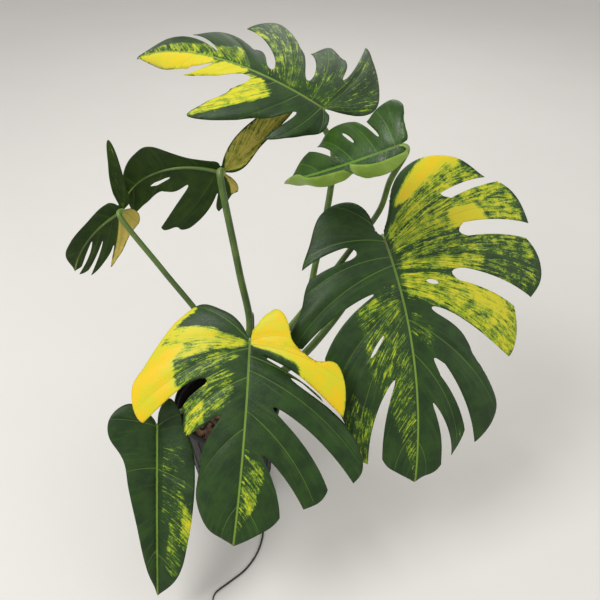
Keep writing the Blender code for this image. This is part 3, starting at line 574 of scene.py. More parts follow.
# %% [markdown]
# Where the side veins run
#
# Each lobe has a strong side vein or two, which leave the midrib and run out to the margin. Here
# they are real creases, so each vein is a line that the mesh has to follow.

# %% Side veins
def side_veins(blade, side):
    rows = blade.ribs[side]
    cuts = [0.0] + [i + 0.5 for i, row in enumerate(rows) if len(row) > 5] + [len(rows) - 1.0]
    found = []
    for low, high in zip(cuts, cuts[1:]):
        count = max(1, round((high - low) / 2.3))
        found += list(low + (high - low) * (np.arange(count) + 0.55) / count)
    near = [(q, f) for s, q, f, *_ in blade.holes if s == side]
    return [v + 0.55 * (abs(v - near[0][0]) < 0.45) if near else v for v in found]


print("side veins on the front blade:", len(side_veins(front, 1)), "and", len(side_veins(front, -1)))

# %% [markdown]
# Cutting and meshing a blade
#
# The flat outline is filled with evenly spread points and triangulated, with the edge, the holes
# and the veins as fixed lines. That keeps the triangles even, however deep the splits are. The
# points then move to their places in space.

# %% Points inside an outline
def inside(points, loop):
    x, y = points[:, 0][:, None], points[:, 1][:, None]
    x1, y1 = loop[:, 0], loop[:, 1]
    x2, y2 = np.roll(x1, -1), np.roll(y1, -1)
    rise = np.where(y2 == y1, 1e-12, y2 - y1)
    crossed = ((y1 > y) != (y2 > y)) & (x < (x2 - x1) * (y - y1) / rise + x1)
    return crossed.sum(axis=1) % 2 == 1


def in_parts(test, points, size=4000):
    return np.concatenate([test(points[k : k + size]) for k in range(0, len(points), size)])


def thinned(points, flat, least):
    kept = [0]
    for i in range(1, len(points) - 1):
        if np.linalg.norm(flat[i] - flat[kept[-1]]) >= least:
            kept.append(i)
    return points[kept + [len(points) - 1]]


def even_spread(blade, side, cell):
    """One (q, f) point in each square cell of the flat blade, the one nearest the cell's middle."""
    q = np.arange(0, len(blade.ribs[side]) - 1, 0.03)
    f = np.arange(0.01, 1.0, max(0.006, cell / (3 * blade.midrib * 0.8)))
    q, f = [a.ravel() for a in np.meshgrid(q, f)]
    flat = blade.place(side, q, f, flat=True)
    cells = np.floor(flat / cell).astype(int)
    off = np.linalg.norm(flat / cell - cells - 0.5, axis=1)
    order = np.lexsort((off, cells[:, 1], cells[:, 0]))
    first = np.unique(cells[order], axis=0, return_index=True)[1]
    chosen = order[first]
    return np.stack([q[chosen], f[chosen]], 1), flat[chosen]


print("cells in half the front blade:", len(even_spread(front, 1, 0.004)[0]))

# %% Half a blade
# How close points may come, as a share of a cell.
EDGE_APART, VEIN_CLEAR, MIDRIB_CLEAR, SPREAD_CLEAR = 0.3, 0.35, 0.5, 0.55
VEIN_END = 0.955


def half_blade(blade, side, shares, cell):
    """(q, f) of every point, with the midrib's points first, and the triangles."""
    edge = outline(blade, side)
    edge = thinned(edge, blade.place(side, *edge.T, flat=True), cell * EDGE_APART)[:-1]
    loops = [hole_ring(blade, *hole) for hole in blade.holes if hole[0] == side]
    middle = np.stack([shares * blade.midrib, np.zeros(len(shares))], 1)
    edge_flat = blade.place(side, *edge.T, flat=True)
    loops_flat = [blade.place(side, *loop.T, flat=True) for loop in loops]
    boundary = np.vstack([middle, edge_flat[::-1]])
    rest, flat = [edge[::-1], *loops], [boundary, *loops_flat]
    lines, count = [], 0
    for loop in flat:
        lines += [(count + k, count + (k + 1) % len(loop)) for k in range(len(loop))]
        count += len(loop)
    for q in side_veins(blade, side):
        start = int(np.argmin(abs(shares - blade.rib(side, [q])[0][0])))
        reach = blade.rib(side, [q])[2][0]
        f = np.linspace(0, VEIN_END, max(4, int(reach / cell)))[1:]
        vein_flat = blade.place(side, q, f, flat=True)
        fixed = np.vstack([boundary, *loops_flat])
        far = np.array([np.linalg.norm(fixed - p, axis=1).min() for p in vein_flat]) > cell * VEIN_CLEAR
        keep = far & (np.abs(vein_flat[:, 1]) > cell * MIDRIB_CLEAR) & inside(vein_flat, boundary)
        for loop in loops_flat:
            keep &= ~inside(vein_flat, loop)
        if keep.sum() < 2:
            continue
        run = np.flatnonzero(keep)
        lines += [(start, count)] * (start > 0 or blade.rib(side, [q])[0][0] < 0.02)
        lines += [(count + k, count + k + 1) for k in range(len(run) - 1) if run[k + 1] == run[k] + 1]
        rest.append(np.stack([np.full(len(run), q), f[run]], 1))
        flat.append(vein_flat[run])
        count += len(run)
    return fill_half(blade, side, cell, rest, flat, lines, boundary, loops_flat)


def fill_half(blade, side, cell, rest, flat, lines, boundary, loops_flat):
    spread, spread_flat = even_spread(blade, side, cell)
    fixed = np.vstack(flat)
    dense = np.vstack([boundary, (boundary + np.roll(boundary, -1, axis=0)) / 2, fixed])

    def clear(points):
        gap = np.sqrt(((points[:, None] - dense[None]) ** 2).sum(axis=2)).min(axis=1)
        open_air = np.zeros(len(points), bool)
        for loop in loops_flat:
            open_air |= inside(points, loop)
        return (gap > cell * SPREAD_CLEAR) & inside(points, boundary) & ~open_air

    good = in_parts(clear, spread_flat, 1500)
    rest.append(spread[good])
    flat.append(spread_flat[good])
    points = np.vstack(flat)
    out = delaunay_2d_cdt([Vector(p) for p in points], lines, [], 0, 1e-7)
    source = np.array([origin[0] if origin else -1 for origin in out[3]])
    triangles = source[np.array([list(face) for face in out[2]])]
    triangles = triangles[(triangles >= 0).all(axis=1)]
    centres = points[triangles].mean(axis=1)
    keep = in_parts(lambda p: inside(p, boundary), centres)
    for loop in loops_flat:
        keep &= ~in_parts(lambda p: inside(p, loop), centres)
    return np.vstack(rest), triangles[keep]


def vein_shares(blade, cell):
    """Even shares of the midrib, and one more where each side vein leaves it."""
    even = np.linspace(0, 1, int(blade.midrib / cell) + 1)
    extra = [blade.rib(side, [q])[0][0] for side in (1, -1) for q in side_veins(blade, side)]
    extra = [s for s in extra if 0.02 < s < 0.98]
    kept = [s for s in even if s in (0, 1) or min([abs(s - e) for e in extra] + [1]) > 0.4 / len(even)]
    return np.unique(np.round(kept + extra, 5))


shares = vein_shares(front, 0.004)
ribs, faces = half_blade(front, 1, shares, 0.004)
print("half the front blade:", len(shares) + len(ribs), "points and", len(faces), "triangles")

# %% [markdown]
# Relief
#
# A real blade isn't smooth. It is quilted: the tissue bulges between the veins, which lie in
# shallow valleys, and the margin waves a little. All of that is under a millimetre or two, but it
# is what the light catches. Each point moves along its normal by a rule of its distance to a vein.

# %% Relief, yellow and vein maps of one half
PILLOW_HEIGHT, PILLOW_WIDTH = 0.0015, 0.006
GROOVE_DEPTH, GROOVE_WIDTH = 0.0009, 0.002
WAVE_HEIGHT = 0.0022
SOFT_RIBS, SOFT_REACH = 0.5, 0.12


def soft_band(value, low, high, soft):
    """1 between low and high, and a soft edge at each."""
    return np.clip((value - low) / soft + 0.5, 0, 1) * np.clip((high - value) / soft + 0.5, 0, 1)


def half_maps(blade, side, ribs, flat):
    q, f = ribs.T
    spacing = blade.spacing(side, q, f)
    gap = np.full(len(q), 1.0)
    for vein in side_veins(blade, side):
        gap = np.minimum(gap, abs(q - vein) * spacing)
    middle = abs(flat[:, 1])
    pillow = 1 - np.exp(-((gap / PILLOW_WIDTH) ** 2))
    groove = np.exp(-((middle / GROOVE_WIDTH) ** 2))
    wave = WAVE_HEIGHT * f**3 * np.sin(2.1 * q + side)
    lift = PILLOW_HEIGHT * pillow * np.clip(f * 4, 0, 1) * (1 - f**6) - GROOVE_DEPTH * groove + wave
    yellow = np.zeros(len(q))
    for half, q0, q1, f0, f1, amount in blade.yellow:
        if half == side:
            brush = amount * soft_band(q, q0, q1, SOFT_RIBS) * soft_band(f, f0, f1, SOFT_REACH)
            yellow = yellow + brush if amount < 0 else np.maximum(yellow, brush)
    return gap, middle, lift, yellow


def across_the_ribs(blade, side):
    """A running length across the ribs, so that streaks keep one width round the blade."""
    q = np.linspace(0, len(blade.ribs[side]) - 1, 400)
    steps = blade.spacing(side, q, np.full(400, 0.5)) * (q[1] - q[0])
    return q, np.cumsum(steps)


print("the front blade is", round(across_the_ribs(front, 1)[1][-1] * 1000), "mm round, half way out")

# %% Building a blade
BLADE_THICKNESS = 0.0007


def blade_mesh(name, blade, cell):
    shares = vein_shares(blade, cell)
    spine = blade.on_spine(shares)
    places, maps, triangles, corner_uv = [spine], [], [], []
    count = len(shares)
    for side in (1, -1):
        ribs, faces = half_blade(blade, side, shares, cell)
        flat = blade.place(side, *ribs.T, flat=True)
        q_run, run = across_the_ribs(blade, side)
        reach = blade.rib(side, ribs[:, 0])[2]
        q = np.concatenate([np.full(len(shares), np.nan), ribs[:, 0]])
        length = np.concatenate([np.zeros(len(shares)), reach * ribs[:, 1]])
        corner_q = q[faces]
        blank = np.isnan(corner_q)
        known = np.where(blank, 0, corner_q).sum(axis=1) / np.maximum((~blank).sum(axis=1), 1)
        corner_q = np.where(blank, known[:, None], corner_q)
        u = np.interp(corner_q, q_run, run) * side
        corner_uv.append(np.stack([u, length[faces]], 2).reshape(-1, 2))
        places.append(blade.place(side, *ribs.T))
        maps.append(np.stack([*half_maps(blade, side, ribs, flat), ribs[:, 1], *flat.T], 1))
        triangles.append(np.where(faces < len(shares), faces, faces - len(shares) + count))
        count += len(ribs)
    starts = [blade.rib(side, [q])[0][0] for side in (1, -1) for q in side_veins(blade, side)]
    middle = np.zeros((len(shares), 7))
    middle[:, 0] = [0.6 * blade.midrib * min(abs(s - start) for start in starts) for s in shares]
    middle[:, 2] = -GROOVE_DEPTH
    middle[:, 5] = shares * blade.midrib
    maps = np.vstack([middle, *maps])
    points, triangles = np.vstack(places), np.vstack(triangles)
    middle_yellow = maps[len(shares) :, 3]
    near = [np.argmin(np.linalg.norm(points[len(shares) :] - p, axis=1)) for p in spine]
    maps[: len(shares), 3] = middle_yellow[near] * 0.6
    return raise_relief(name, blade, points, triangles, np.vstack(corner_uv), maps)


def raise_relief(name, blade, points, triangles, corner_uv, maps):
    corners = points[triangles]
    normals = np.cross(corners[:, 1] - corners[:, 0], corners[:, 2] - corners[:, 0])
    first = int(np.argmin(np.linalg.norm(corners.mean(axis=1) - blade.on_spine([0.3])[0], axis=1)))
    if normals[first] @ blade.up < 0:
        triangles, normals = triangles[:, ::-1], -normals
        corner_uv = corner_uv.reshape(-1, 3, 2)[:, ::-1].reshape(-1, 2)
    at = np.zeros_like(points)
    for k in range(3):
        np.add.at(at, triangles[:, k], normals)
    at /= np.maximum(np.linalg.norm(at, axis=1, keepdims=True), 1e-12)
    points = points + at * maps[:, 2][:, None]
    mesh = bpy.data.meshes.new(name)
    mesh.from_pydata(points.tolist(), [], triangles.tolist())
    mesh.uv_layers.new(name="ribs").uv.foreach_set("vector", corner_uv.astype(np.float32).ravel())
    for key, column in (("vein_gap", 0), ("midrib_gap", 1), ("yellow", 3), ("reach_share", 4)):
        values = maps[:, column].astype(np.float32)
        mesh.attributes.new(key, "FLOAT", "POINT").data.foreach_set("value", values)
    flat = np.column_stack([maps[:, 5:7], np.zeros(len(maps))]).astype(np.float32)
    mesh.attributes.new("flat", "FLOAT_VECTOR", "POINT").data.foreach_set("vector", flat.ravel())
    return mesh


def link(name, mesh):
    made = bpy.data.objects.new(name, mesh)
    bpy.context.scene.collection.objects.link(made)
    return made


def shade_smooth(mesh):
    mesh.polygons.foreach_set("use_smooth", [True] * len(mesh.polygons))


def frozen(obj):
    """The object with its modifiers turned into plain mesh."""
    bpy.context.view_layer.update()
    solid = bpy.data.meshes.new_from_object(obj.evaluated_get(bpy.context.evaluated_depsgraph_get()))
    obj.modifiers.clear()
    obj.data = solid
    return obj


def make_blade(name, blade, finishes, cell):
    obj = link(name + "_blade", blade_mesh(name, blade, cell))
    for finish in finishes:
        obj.data.materials.append(finish)
    thickness = obj.modifiers.new("thickness", "SOLIDIFY")
    thickness.thickness = BLADE_THICKNESS
    thickness.offset = 0
    thickness.material_offset = 1
    frozen(obj)
    shade_smooth(obj.data)
    return obj


print("a blade is", BLADE_THICKNESS * 1000, "mm thick")

# %% [markdown]
# The blade's skin
#
# The upper side is a waxy, deep green with a pale midrib and side veins. The marbling is a chimera:
# patches of cells without green, which grow out along the veins. So the yellow amount painted on
# the blade is broken up by noise that is stretched along the ribs, and the ramp turns the sum into
# green, grey-green, lime and yellow. The underside has the same pattern, paler and duller.

# %% Blade finish
def marbling(tree):
    """How yellow the surface is, with the streaks that run along the ribs."""
    ribs = uv_map(tree, "ribs")
    flat = attribute(tree, "flat", "Vector")
    streaks = speckle(tree, ribs, (310, 30, 1), detail=9, roughness=0.76)
    patches = speckle(tree, flat, 60, detail=4)
    flecks = speckle(tree, ribs, (1200, 260, 1), detail=4, roughness=0.7)
    uneven = times(tree, minus(tree, streaks, 0.5), 1.5)
    for pattern in (patches, flecks):
        uneven = plus(tree, uneven, times(tree, minus(tree, pattern, 0.5), 0.6))
    return plus(tree, attribute(tree, "yellow"), uneven), ribs, flat


def blade_finish(name, greens, lime, yellow, gold, vein, roughness, relief):
    material, tree, shader = start_material(name, roughness)
    amount, ribs, flat = marbling(tree)
    tone = speckle(tree, flat, 28, detail=5)
    fine = speckle(tree, ribs, (160, 14, 1), detail=5, roughness=0.55)
    green = blend_colours(tree, step_up(tree, tone, 0.36, 0.66), greens[0], greens[1])
    green = blend_colours(tree, times(tree, step_up(tree, fine, 0.5, 0.75), 0.5), green, greens[2])
    colour = blend_colours(tree, step_up(tree, amount, 0.41, 0.46), green, greens[3])
    colour = blend_colours(tree, step_up(tree, amount, 0.495, 0.525), colour, lime)
    colour = blend_colours(tree, step_up(tree, amount, 0.6, 0.65), colour, yellow)
    ripeness = plus(tree, tone, times(tree, fine, 0.5))
    ripe = blend_colours(tree, step_up(tree, ripeness, 0.66, 0.86), gold, yellow)
    colour = blend_colours(tree, step_up(tree, amount, 0.86, 1.05), colour, ripe)
    share = attribute(tree, "reach_share")
    width = minus(tree, 0.0011, times(tree, share, 0.0008))
    side = minus(tree, 1, maths(tree, "DIVIDE", attribute(tree, "vein_gap"), width), clamp=True)
    middle = step_up(tree, attribute(tree, "midrib_gap"), 0.0006, 0.0021)
    line = maths(tree, "MAXIMUM", times(tree, side, 0.62), minus(tree, 1, middle), clamp=True)
    colour = blend_colours(tree, times(tree, line, 0.85), colour, vein)
    cells = stretched(tree, ribs, (420, 150, 1))
    net = node(tree, "ShaderNodeTexVoronoi", {"feature": "DISTANCE_TO_EDGE"}, Vector=cells, Scale=1.0)
    height = plus(tree, times(tree, step_up(tree, net.outputs[0], 0.0, 0.12), 0.5), fine)
    surface(tree, shader, colour, height, strength=relief, depth=0.0006)
    fill_in(shader, Roughness=plus(tree, times(tree, tone, 0.14), roughness - 0.07))
    return material, shader


blade_top, shader = blade_finish(
    "blade_top", ((0.008, 0.03, 0.003), (0.018, 0.054, 0.005), (0.04, 0.095, 0.01), (0.065, 0.15, 0.007)),
    (0.27, 0.37, 0.012), (0.6, 0.55, 0.014), (0.74, 0.51, 0.006), (0.2, 0.32, 0.035), 0.44, 0.4,
)
fill_in(shader, Coat_Weight=0.03, Coat_Roughness=0.35, Specular_IOR_Level=0.3)
blade_under, shader = blade_finish(
    "blade_under", ((0.012, 0.034, 0.002), (0.024, 0.056, 0.003), (0.045, 0.085, 0.006), (0.09, 0.13, 0.01)),
    (0.28, 0.3, 0.04), (0.5, 0.42, 0.08), (0.66, 0.48, 0.13), (0.12, 0.18, 0.025), 0.55, 0.55,
)
fill_in(shader, Specular_IOR_Level=0.2)
young_top, shader = blade_finish(
    "young_top", ((0.012, 0.046, 0.001), (0.026, 0.078, 0.002), (0.055, 0.13, 0.005), (0.09, 0.2, 0.01)),
    (0.2, 0.4, 0.03), (0.5, 0.5, 0.05), (0.5, 0.5, 0.05), (0.13, 0.28, 0.02), 0.34, 0.35,
)
fill_in(shader, Coat_Weight=0.06, Coat_Roughness=0.25, Specular_IOR_Level=0.34)
young_under, shader = blade_finish(
    "young_under", ((0.2, 0.33, 0.04), (0.25, 0.39, 0.055), (0.3, 0.44, 0.07), (0.32, 0.46, 0.08)),
    (0.3, 0.45, 0.1), (0.4, 0.5, 0.1), (0.4, 0.5, 0.1), (0.36, 0.5, 0.1), 0.45, 0.3,
)
fill_in(shader, Specular_IOR_Level=0.25)
print("blade finishes:", blade_top.name, blade_under.name, young_top.name, young_under.name)

# %% Make the blades
CELL = 0.0027
blades = {name: Blade(plan) for name, plan in BLADES.items()}
for name, blade in blades.items():
    finishes = (young_top, young_under) if name == "leaf_young" else (blade_top, blade_under)
    piece = make_blade(name, blade, finishes, CELL)
    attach(piece, "root")
    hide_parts(name)
    print(piece.name, len(piece.data.polygons), "faces")

# %% [markdown]
# Petioles
#
# A petiole is a fleshy stalk. It sheathes the cane with a wide, winged foot, runs up nearly round,
# and ends in a thicker, paler knee that turns the blade to the light. Below the blade it runs on as
# the midrib's ridge. Sweeping a ring along a smooth path does all of that: the ring's size changes
# along the way, and a shallow channel runs up its inner side.

# %% A swept tube
UPRIGHT = (0, 0, 1)


def sweep_tube(name, path, radii, sides=20, shape=None):
    """Rings along a path, closed at both ends, with a UV map of round and along in metres."""
    path = np.asarray(path, float)
    along = unit(np.gradient(path, axis=0))
    normal = unit(np.cross(np.cross(along[0], UPRIGHT), along[0]))
    turn = np.linspace(0, 2 * pi, sides, endpoint=False)
    length = np.concatenate([[0], np.cumsum(np.linalg.norm(np.diff(path, axis=0), axis=1))])
    rings = []
    for k, (place, way, radius) in enumerate(zip(path, along, radii)):
        normal = unit(normal - (normal @ way) * way)
        other = np.cross(way, normal)
        size = radius * (shape(turn, k / (len(path) - 1)) if shape else np.ones(sides))
        rings.append(place + size[:, None] * (np.cos(turn)[:, None] * normal + np.sin(turn)[:, None] * other))
    rings = np.array(rings)
    count = len(path)
    points = np.vstack([rings.reshape(-1, 3), path[0], path[-1]])
    faces, uv = [], []
    mean = float(np.mean(radii))
    for k in range(count - 1):
        for s in range(sides):
            t = (s + 1) % sides
            faces.append((k * sides + s, k * sides + t, (k + 1) * sides + t, (k + 1) * sides + s))
            u0, u1 = 2 * pi * mean * s / sides, 2 * pi * mean * (s + 1) / sides
            uv += [(u0, length[k]), (u1, length[k]), (u1, length[k + 1]), (u0, length[k + 1])]
    ends = ((count * sides, 0, True), (count * sides + 1, (count - 1) * sides, False))
    for centre, begin, flip in ends:
        for s in range(sides):
            t = (s + 1) % sides
            faces.append((centre, begin + t, begin + s) if flip else (centre, begin + s, begin + t))
            uv += [(0, length[0 if flip else -1])] * 3
    mesh = bpy.data.meshes.new(name)
    mesh.from_pydata(points.tolist(), [], faces)
    mesh.uv_layers.new(name="skin").uv.foreach_set("vector", np.array(uv, np.float32).ravel())
    share = np.concatenate([np.repeat(np.linspace(0, 1, count), sides), [0, 1]]).astype(np.float32)
    mesh.attributes.new("along_share", "FLOAT", "POINT").data.foreach_set("value", share)
    shade_smooth(mesh)
    return link(name, mesh)


print("a swept ring has 20 sides unless another number is given")

# %% Petiole routes
STEM_RADIUS = 0.013
STEM_LENGTH = 0.115
STEM_FOOT = (-0.004, 0.012)
STEM_LEAN = (0.42, 0.14)
PETIOLES = {
    "petiole_front": {
        "blade": "leaf_front", "radius": 0.0052, "start": (0.15, -80),
        "through": ((0.034, -0.010, 0.10), (0.052, -0.030, 0.185)),
    },
    "petiole_right": {
        "blade": "leaf_right", "radius": 0.0060, "start": (0.25, -20),
        "through": ((0.112, 0.012, 0.105), (0.170, 0.030, 0.175), (0.218, 0.055, 0.250)),
    },
    "petiole_low_left": {
        "blade": "leaf_low_left", "radius": 0.0040, "start": (0.02, -135),
        "through": ((-0.042, -0.048, 0.075),),
    },
    "petiole_far_left": {
        "blade": "leaf_far_left", "radius": 0.0046, "start": (0.30, 170),
        "through": ((-0.022, 0.040, 0.150), (-0.088, 0.066, 0.250)),
    },
    "petiole_left": {
        "blade": "leaf_left", "radius": 0.0058, "start": (0.45, 125),
        "through": ((0.040, 0.050, 0.145), (0.028, 0.066, 0.250)),
    },
    "petiole_top": {
        "blade": "leaf_top", "radius": 0.0050, "start": (0.62, 60),
        "through": (
            (0.115, 0.072, 0.111), (0.147, 0.100, 0.245), (0.166, 0.115, 0.361), (0.167, 0.113, 0.430),
        ),
    },
    "petiole_young": {
        "blade": "leaf_young", "radius": 0.0044, "start": (0.80, 0),
        "through": (
            (0.132, 0.032, 0.207), (0.195, 0.060, 0.292), (0.229, 0.045, 0.365), (0.234, 0.002, 0.438),
        ),
    },
}


FOOT_BITE, FOOT_SPREAD = 0.0025, 1.15
FOOT_RISE, FOOT_OUT, KNEE = 0.02, 0.007, 0.02
STALK_GAP, SHEATH_GAP = 0.0008, 0.0036


def stem_point(share):
    foot = np.array([*STEM_FOOT, SOIL_TOP + 0.0003 + STEM_RADIUS * np.linalg.norm(STEM_LEAN)])
    lean = np.array([*STEM_LEAN, 1])
    return foot + share * STEM_LENGTH * unit(lean)


def petiole_knots(name, gap):
    """The points that a petiole goes through, from the cane to just under its blade."""
    plan = PETIOLES[name]
    blade = blades[plan["blade"]]
    share, azimuth = plan["start"]
    lean = unit(stem_point(1) - stem_point(0))
    out = np.array([cos(radians(azimuth)), sin(radians(azimuth)), 0])
    out = unit(out - out @ lean * lean)
    # The foot bites into the cane, because the channel on its inner side would leave it standing clear.
    foot = stem_point(share) + out * (STEM_RADIUS + plan["radius"] * FOOT_SPREAD - FOOT_BITE)
    below = blade.base - blade.up * gap
    knots = [foot, foot + lean * FOOT_RISE + out * FOOT_OUT]
    knots += [np.array(point) + (0, 0, SOIL_TOP) for point in plan["through"]]
    return knots + [below - blade.up * KNEE, below]


print("petioles:", {name: len(petiole_knots(name, 0.001)) for name in PETIOLES})

# %% Petiole finish
def petiole_finish():
    material, tree, shader = start_material("petiole_skin", 0.42)
    skin = uv_map(tree, "skin")
    place = object_place(tree)
    share = attribute(tree, "along_share")
    lines = speckle(tree, skin, (900, 22, 1), detail=4)
    spots = speckle(tree, place, 330, detail=2)
    cloud = speckle(tree, place, 26, detail=3)
    colour = blend_colours(tree, step_up(tree, cloud, 0.35, 0.7), (0.04, 0.085, 0.01), (0.09, 0.16, 0.02))
    marks = ((lines, 0.48, 0.45, (0.15, 0.24, 0.06)), (spots, 0.66, 0.6, (0.28, 0.33, 0.13)))
    for mark, low, most, pale in marks:
        colour = blend_colours(tree, times(tree, step_up(tree, mark, low, 0.7), most), colour, pale)
    colour = blend_colours(tree, step_up(tree, share, 0.8, 0.96), colour, (0.27, 0.39, 0.09))
    colour = blend_colours(tree, minus(tree, 1, step_up(tree, share, 0.0, 0.13)), colour, (0.11, 0.075, 0.03))
    surface(tree, shader, colour, lines, strength=0.3, depth=0.0005)
    return material


petiole_skin = petiole_finish()
print("made", petiole_skin.name)

# %% Make the petioles
# Share of the way, and the radius there as a multiple of the petiole's own.
SWELL = ((0, 1.25), (0.06, 1.3), (0.2, 1.12), (0.45, 0.98), (0.86, 0.84), (0.92, 0.98), (0.97, 0.98), (1, 0.7))
PETIOLE_STEPS = 110


def stalk_radius(name, share):
    return PETIOLES[name]["radius"] * np.interp(share, *zip(*SWELL))


def channelled(turn, share):
    """A shallow channel up the inner side, deeper and winged near the foot."""
    depth = 0.1 + 0.22 * max(0, 1 - share / 0.35)
    channel = np.exp(-((np.minimum(turn, 2 * pi - turn) / 0.45) ** 2))
    wings = np.exp(-(((np.minimum(turn, 2 * pi - turn) - 0.85) / 0.3) ** 2))
    return 1 - depth * channel + 0.5 * depth * wings


for name in PETIOLES:
    knots = petiole_knots(name, STALK_GAP)
    q = np.linspace(0, len(knots) - 1, PETIOLE_STEPS)
    path = smooth_path(knots, q)
    piece = sweep_tube(name + "_stalk", path, stalk_radius(name, q / q[-1]), shape=channelled)
    piece.data.materials.append(petiole_skin)
    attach(piece, "root")
    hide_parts(name)
    print(piece.name, round(float(np.linalg.norm(np.diff(path, axis=0), axis=1).sum()) * 1000), "mm long")

# %% Midrib ridges under the blades
for name, blade in blades.items():
    radius = next(p["radius"] for p in PETIOLES.values() if p["blade"] == name)
    share = np.linspace(0, 0.97, 60)
    size = np.interp(share, (0, 0.06, 0.5, 0.97), (0.62, 0.5, 0.28, 0.06)) * radius
    downs = [np.interp(share, blade.share, blade.frames[:, 1, k]) for k in range(3)]
    path = blade.on_spine(share) - np.stack(downs, 1) * (size * 0.75 + 0.0009)[:, None]
    piece = sweep_tube(name + "_midrib", path, size, sides=12)
    piece.data.materials.append(petiole_skin)
    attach(piece, "root")
print("midrib ridges:", len(blades))

# %% [markdown]
# The cane
#
# The cane is short, knobbly and ringed with the scars of old petioles. It is swept like a petiole,
# with a radius that swells at each ring.

# %% Cane
def cane_finish():
    material, tree, shader = start_material("cane_skin", 0.65)
    place = object_place(tree)
    cloud = speckle(tree, place, 60, detail=5)
    grain = speckle(tree, place, (420, 420, 160), detail=4)
    colour = blend_colours(tree, step_up(tree, cloud, 0.4, 0.62), (0.07, 0.1, 0.025), (0.13, 0.085, 0.04))
    colour = blend_colours(tree, step_up(tree, grain, 0.55, 0.7), colour, (0.2, 0.16, 0.09))
    surface(tree, shader, colour, grain, strength=0.6, depth=0.001)
    return material


share = np.linspace(0, 1, 90)
rings = 1 + 0.05 * np.maximum(0, np.cos(share * 2 * pi * 7)) ** 6
taper = np.interp(share, (0, 0.8, 1), (1, 0.95, 0.55))
cane = sweep_tube("cane", [stem_point(s) for s in share], STEM_RADIUS * rings * taper, sides=32)
cane.data.materials.append(cane_finish())
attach(cane, "root")
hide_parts("main_stem")
print("the cane is", STEM_LENGTH * 1000, "mm long")

# %% [markdown]
# The pot
#
# A nursery pot is blow-moulded in thin black plastic: a slight taper, a stepped rim band to grip
# and stack by, stiffening ribs down the wall and drainage notches round the foot. The shell is a
# profile turned round Z. The ribs repeat, so Geometry Nodes make one and copy it round.

# %% The pot's shell
pot_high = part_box("nursery_pot")[1]
POT_HEIGHT = pot_high.z
RIM_RADIUS = pot_high.x
FOOT_RADIUS = 0.067
WALL = 0.0016
POT_FLOOR = 0.0022
BAND_HEIGHT = 0.014
BAND_STEP = 0.0022


def wall_radius(height):
    return FOOT_RADIUS + (RIM_RADIUS - BAND_STEP - FOOT_RADIUS) * height / POT_HEIGHT


def mesh_of(name, form):
    mesh = bpy.data.meshes.new(name)
    form.to_mesh(mesh)
    form.free()
    return mesh


def skinned(name, form, rings, steps):
    """Faces between each ring of points and the next. A ring can be a single point."""
    for pair in zip(rings, rings[1:]):
        for s in range(steps):
            e = (s + 1) % steps
            lower, upper = [[ring[k % len(ring)] for k in (s, e)] for ring in pair]
            form.faces.new(dict.fromkeys([*lower, *upper[::-1]]))
    bmesh.ops.recalc_face_normals(form, faces=form.faces)
    return mesh_of(name, form)


def turned(name, profile, steps):
    """A profile of (radius, height) points turned round Z."""
    profile = np.array(profile, float)
    turn = np.linspace(0, 2 * pi, steps, endpoint=False)
    form = bmesh.new()
    rings = []
    for r, z in profile:
        if r < 1e-6:
            rings.append([form.verts.new((0, 0, z))])
        else:
            rings.append([form.verts.new((r * cos(t), r * sin(t), z)) for t in turn])
    return link(name, skinned(name, form, rings, steps))


def rounded(points, size):
    """The profile with each inner corner cut back twice, so that it catches light."""
    points = np.array(points, float)
    out = [points[0]]
    for before, corner, after in zip(points, points[1:], points[2:]):
        to_before, to_after = before - corner, after - corner
        reach = [min(size, 0.4 * np.linalg.norm(v)) for v in (to_before, to_after)]
        a = corner + to_before / np.linalg.norm(to_before) * reach[0]
        b = corner + to_after / np.linalg.norm(to_after) * reach[1]
        out += [a, (a + b) / 4 + corner / 2, b]
    return [*out, points[-1]]


band_foot = POT_HEIGHT - BAND_HEIGHT
profile = rounded(
    (
        (0, POT_FLOOR),
        (wall_radius(POT_FLOOR) - WALL, POT_FLOOR),
        (wall_radius(band_foot) - WALL, band_foot),
        (RIM_RADIUS - WALL, band_foot + BAND_STEP),
        (RIM_RADIUS - WALL, POT_HEIGHT),
        (RIM_RADIUS, POT_HEIGHT),
        (RIM_RADIUS, band_foot),
        (wall_radius(band_foot), band_foot),
        (wall_radius(0), 0),
        (0, 0),
    ),
    0.0007,
)
shell = turned("pot_shell", profile, 192)
print("the pot is", round(POT_HEIGHT * 1000), "mm high and", round(RIM_RADIUS * 2000), "mm across the rim")

# %% Drainage notches
DRAINS = 8
DRAIN_HEIGHT, DRAIN_WIDTH, DRAIN_MIDDLE = 0.008, 0.009, 0.0065
for k in range(DRAINS):
    turn = radians(15 + 360 * k / DRAINS)
    form = bmesh.new()
    bmesh.ops.create_cube(form, size=1)
    for vertex in form.verts:
        x, y, z = vertex.co
        x, y, z = x * FOOT_RADIUS * 0.2, y * DRAIN_WIDTH, z * DRAIN_HEIGHT
        x += FOOT_RADIUS
        vertex.co = (x * cos(turn) - y * sin(turn), x * sin(turn) + y * cos(turn), z + DRAIN_MIDDLE)
    cutter = link("notch", mesh_of("notch", form))
    cut = shell.modifiers.new("notch", "BOOLEAN")
    cut.operation = "DIFFERENCE"
    cut.object = cutter
frozen(shell)
for cutter in [o for o in bpy.data.objects if o.name.startswith("notch")]:
    bpy.data.objects.remove(cutter)
print("the shell has", DRAINS, "notches and", len(shell.data.polygons), "faces")

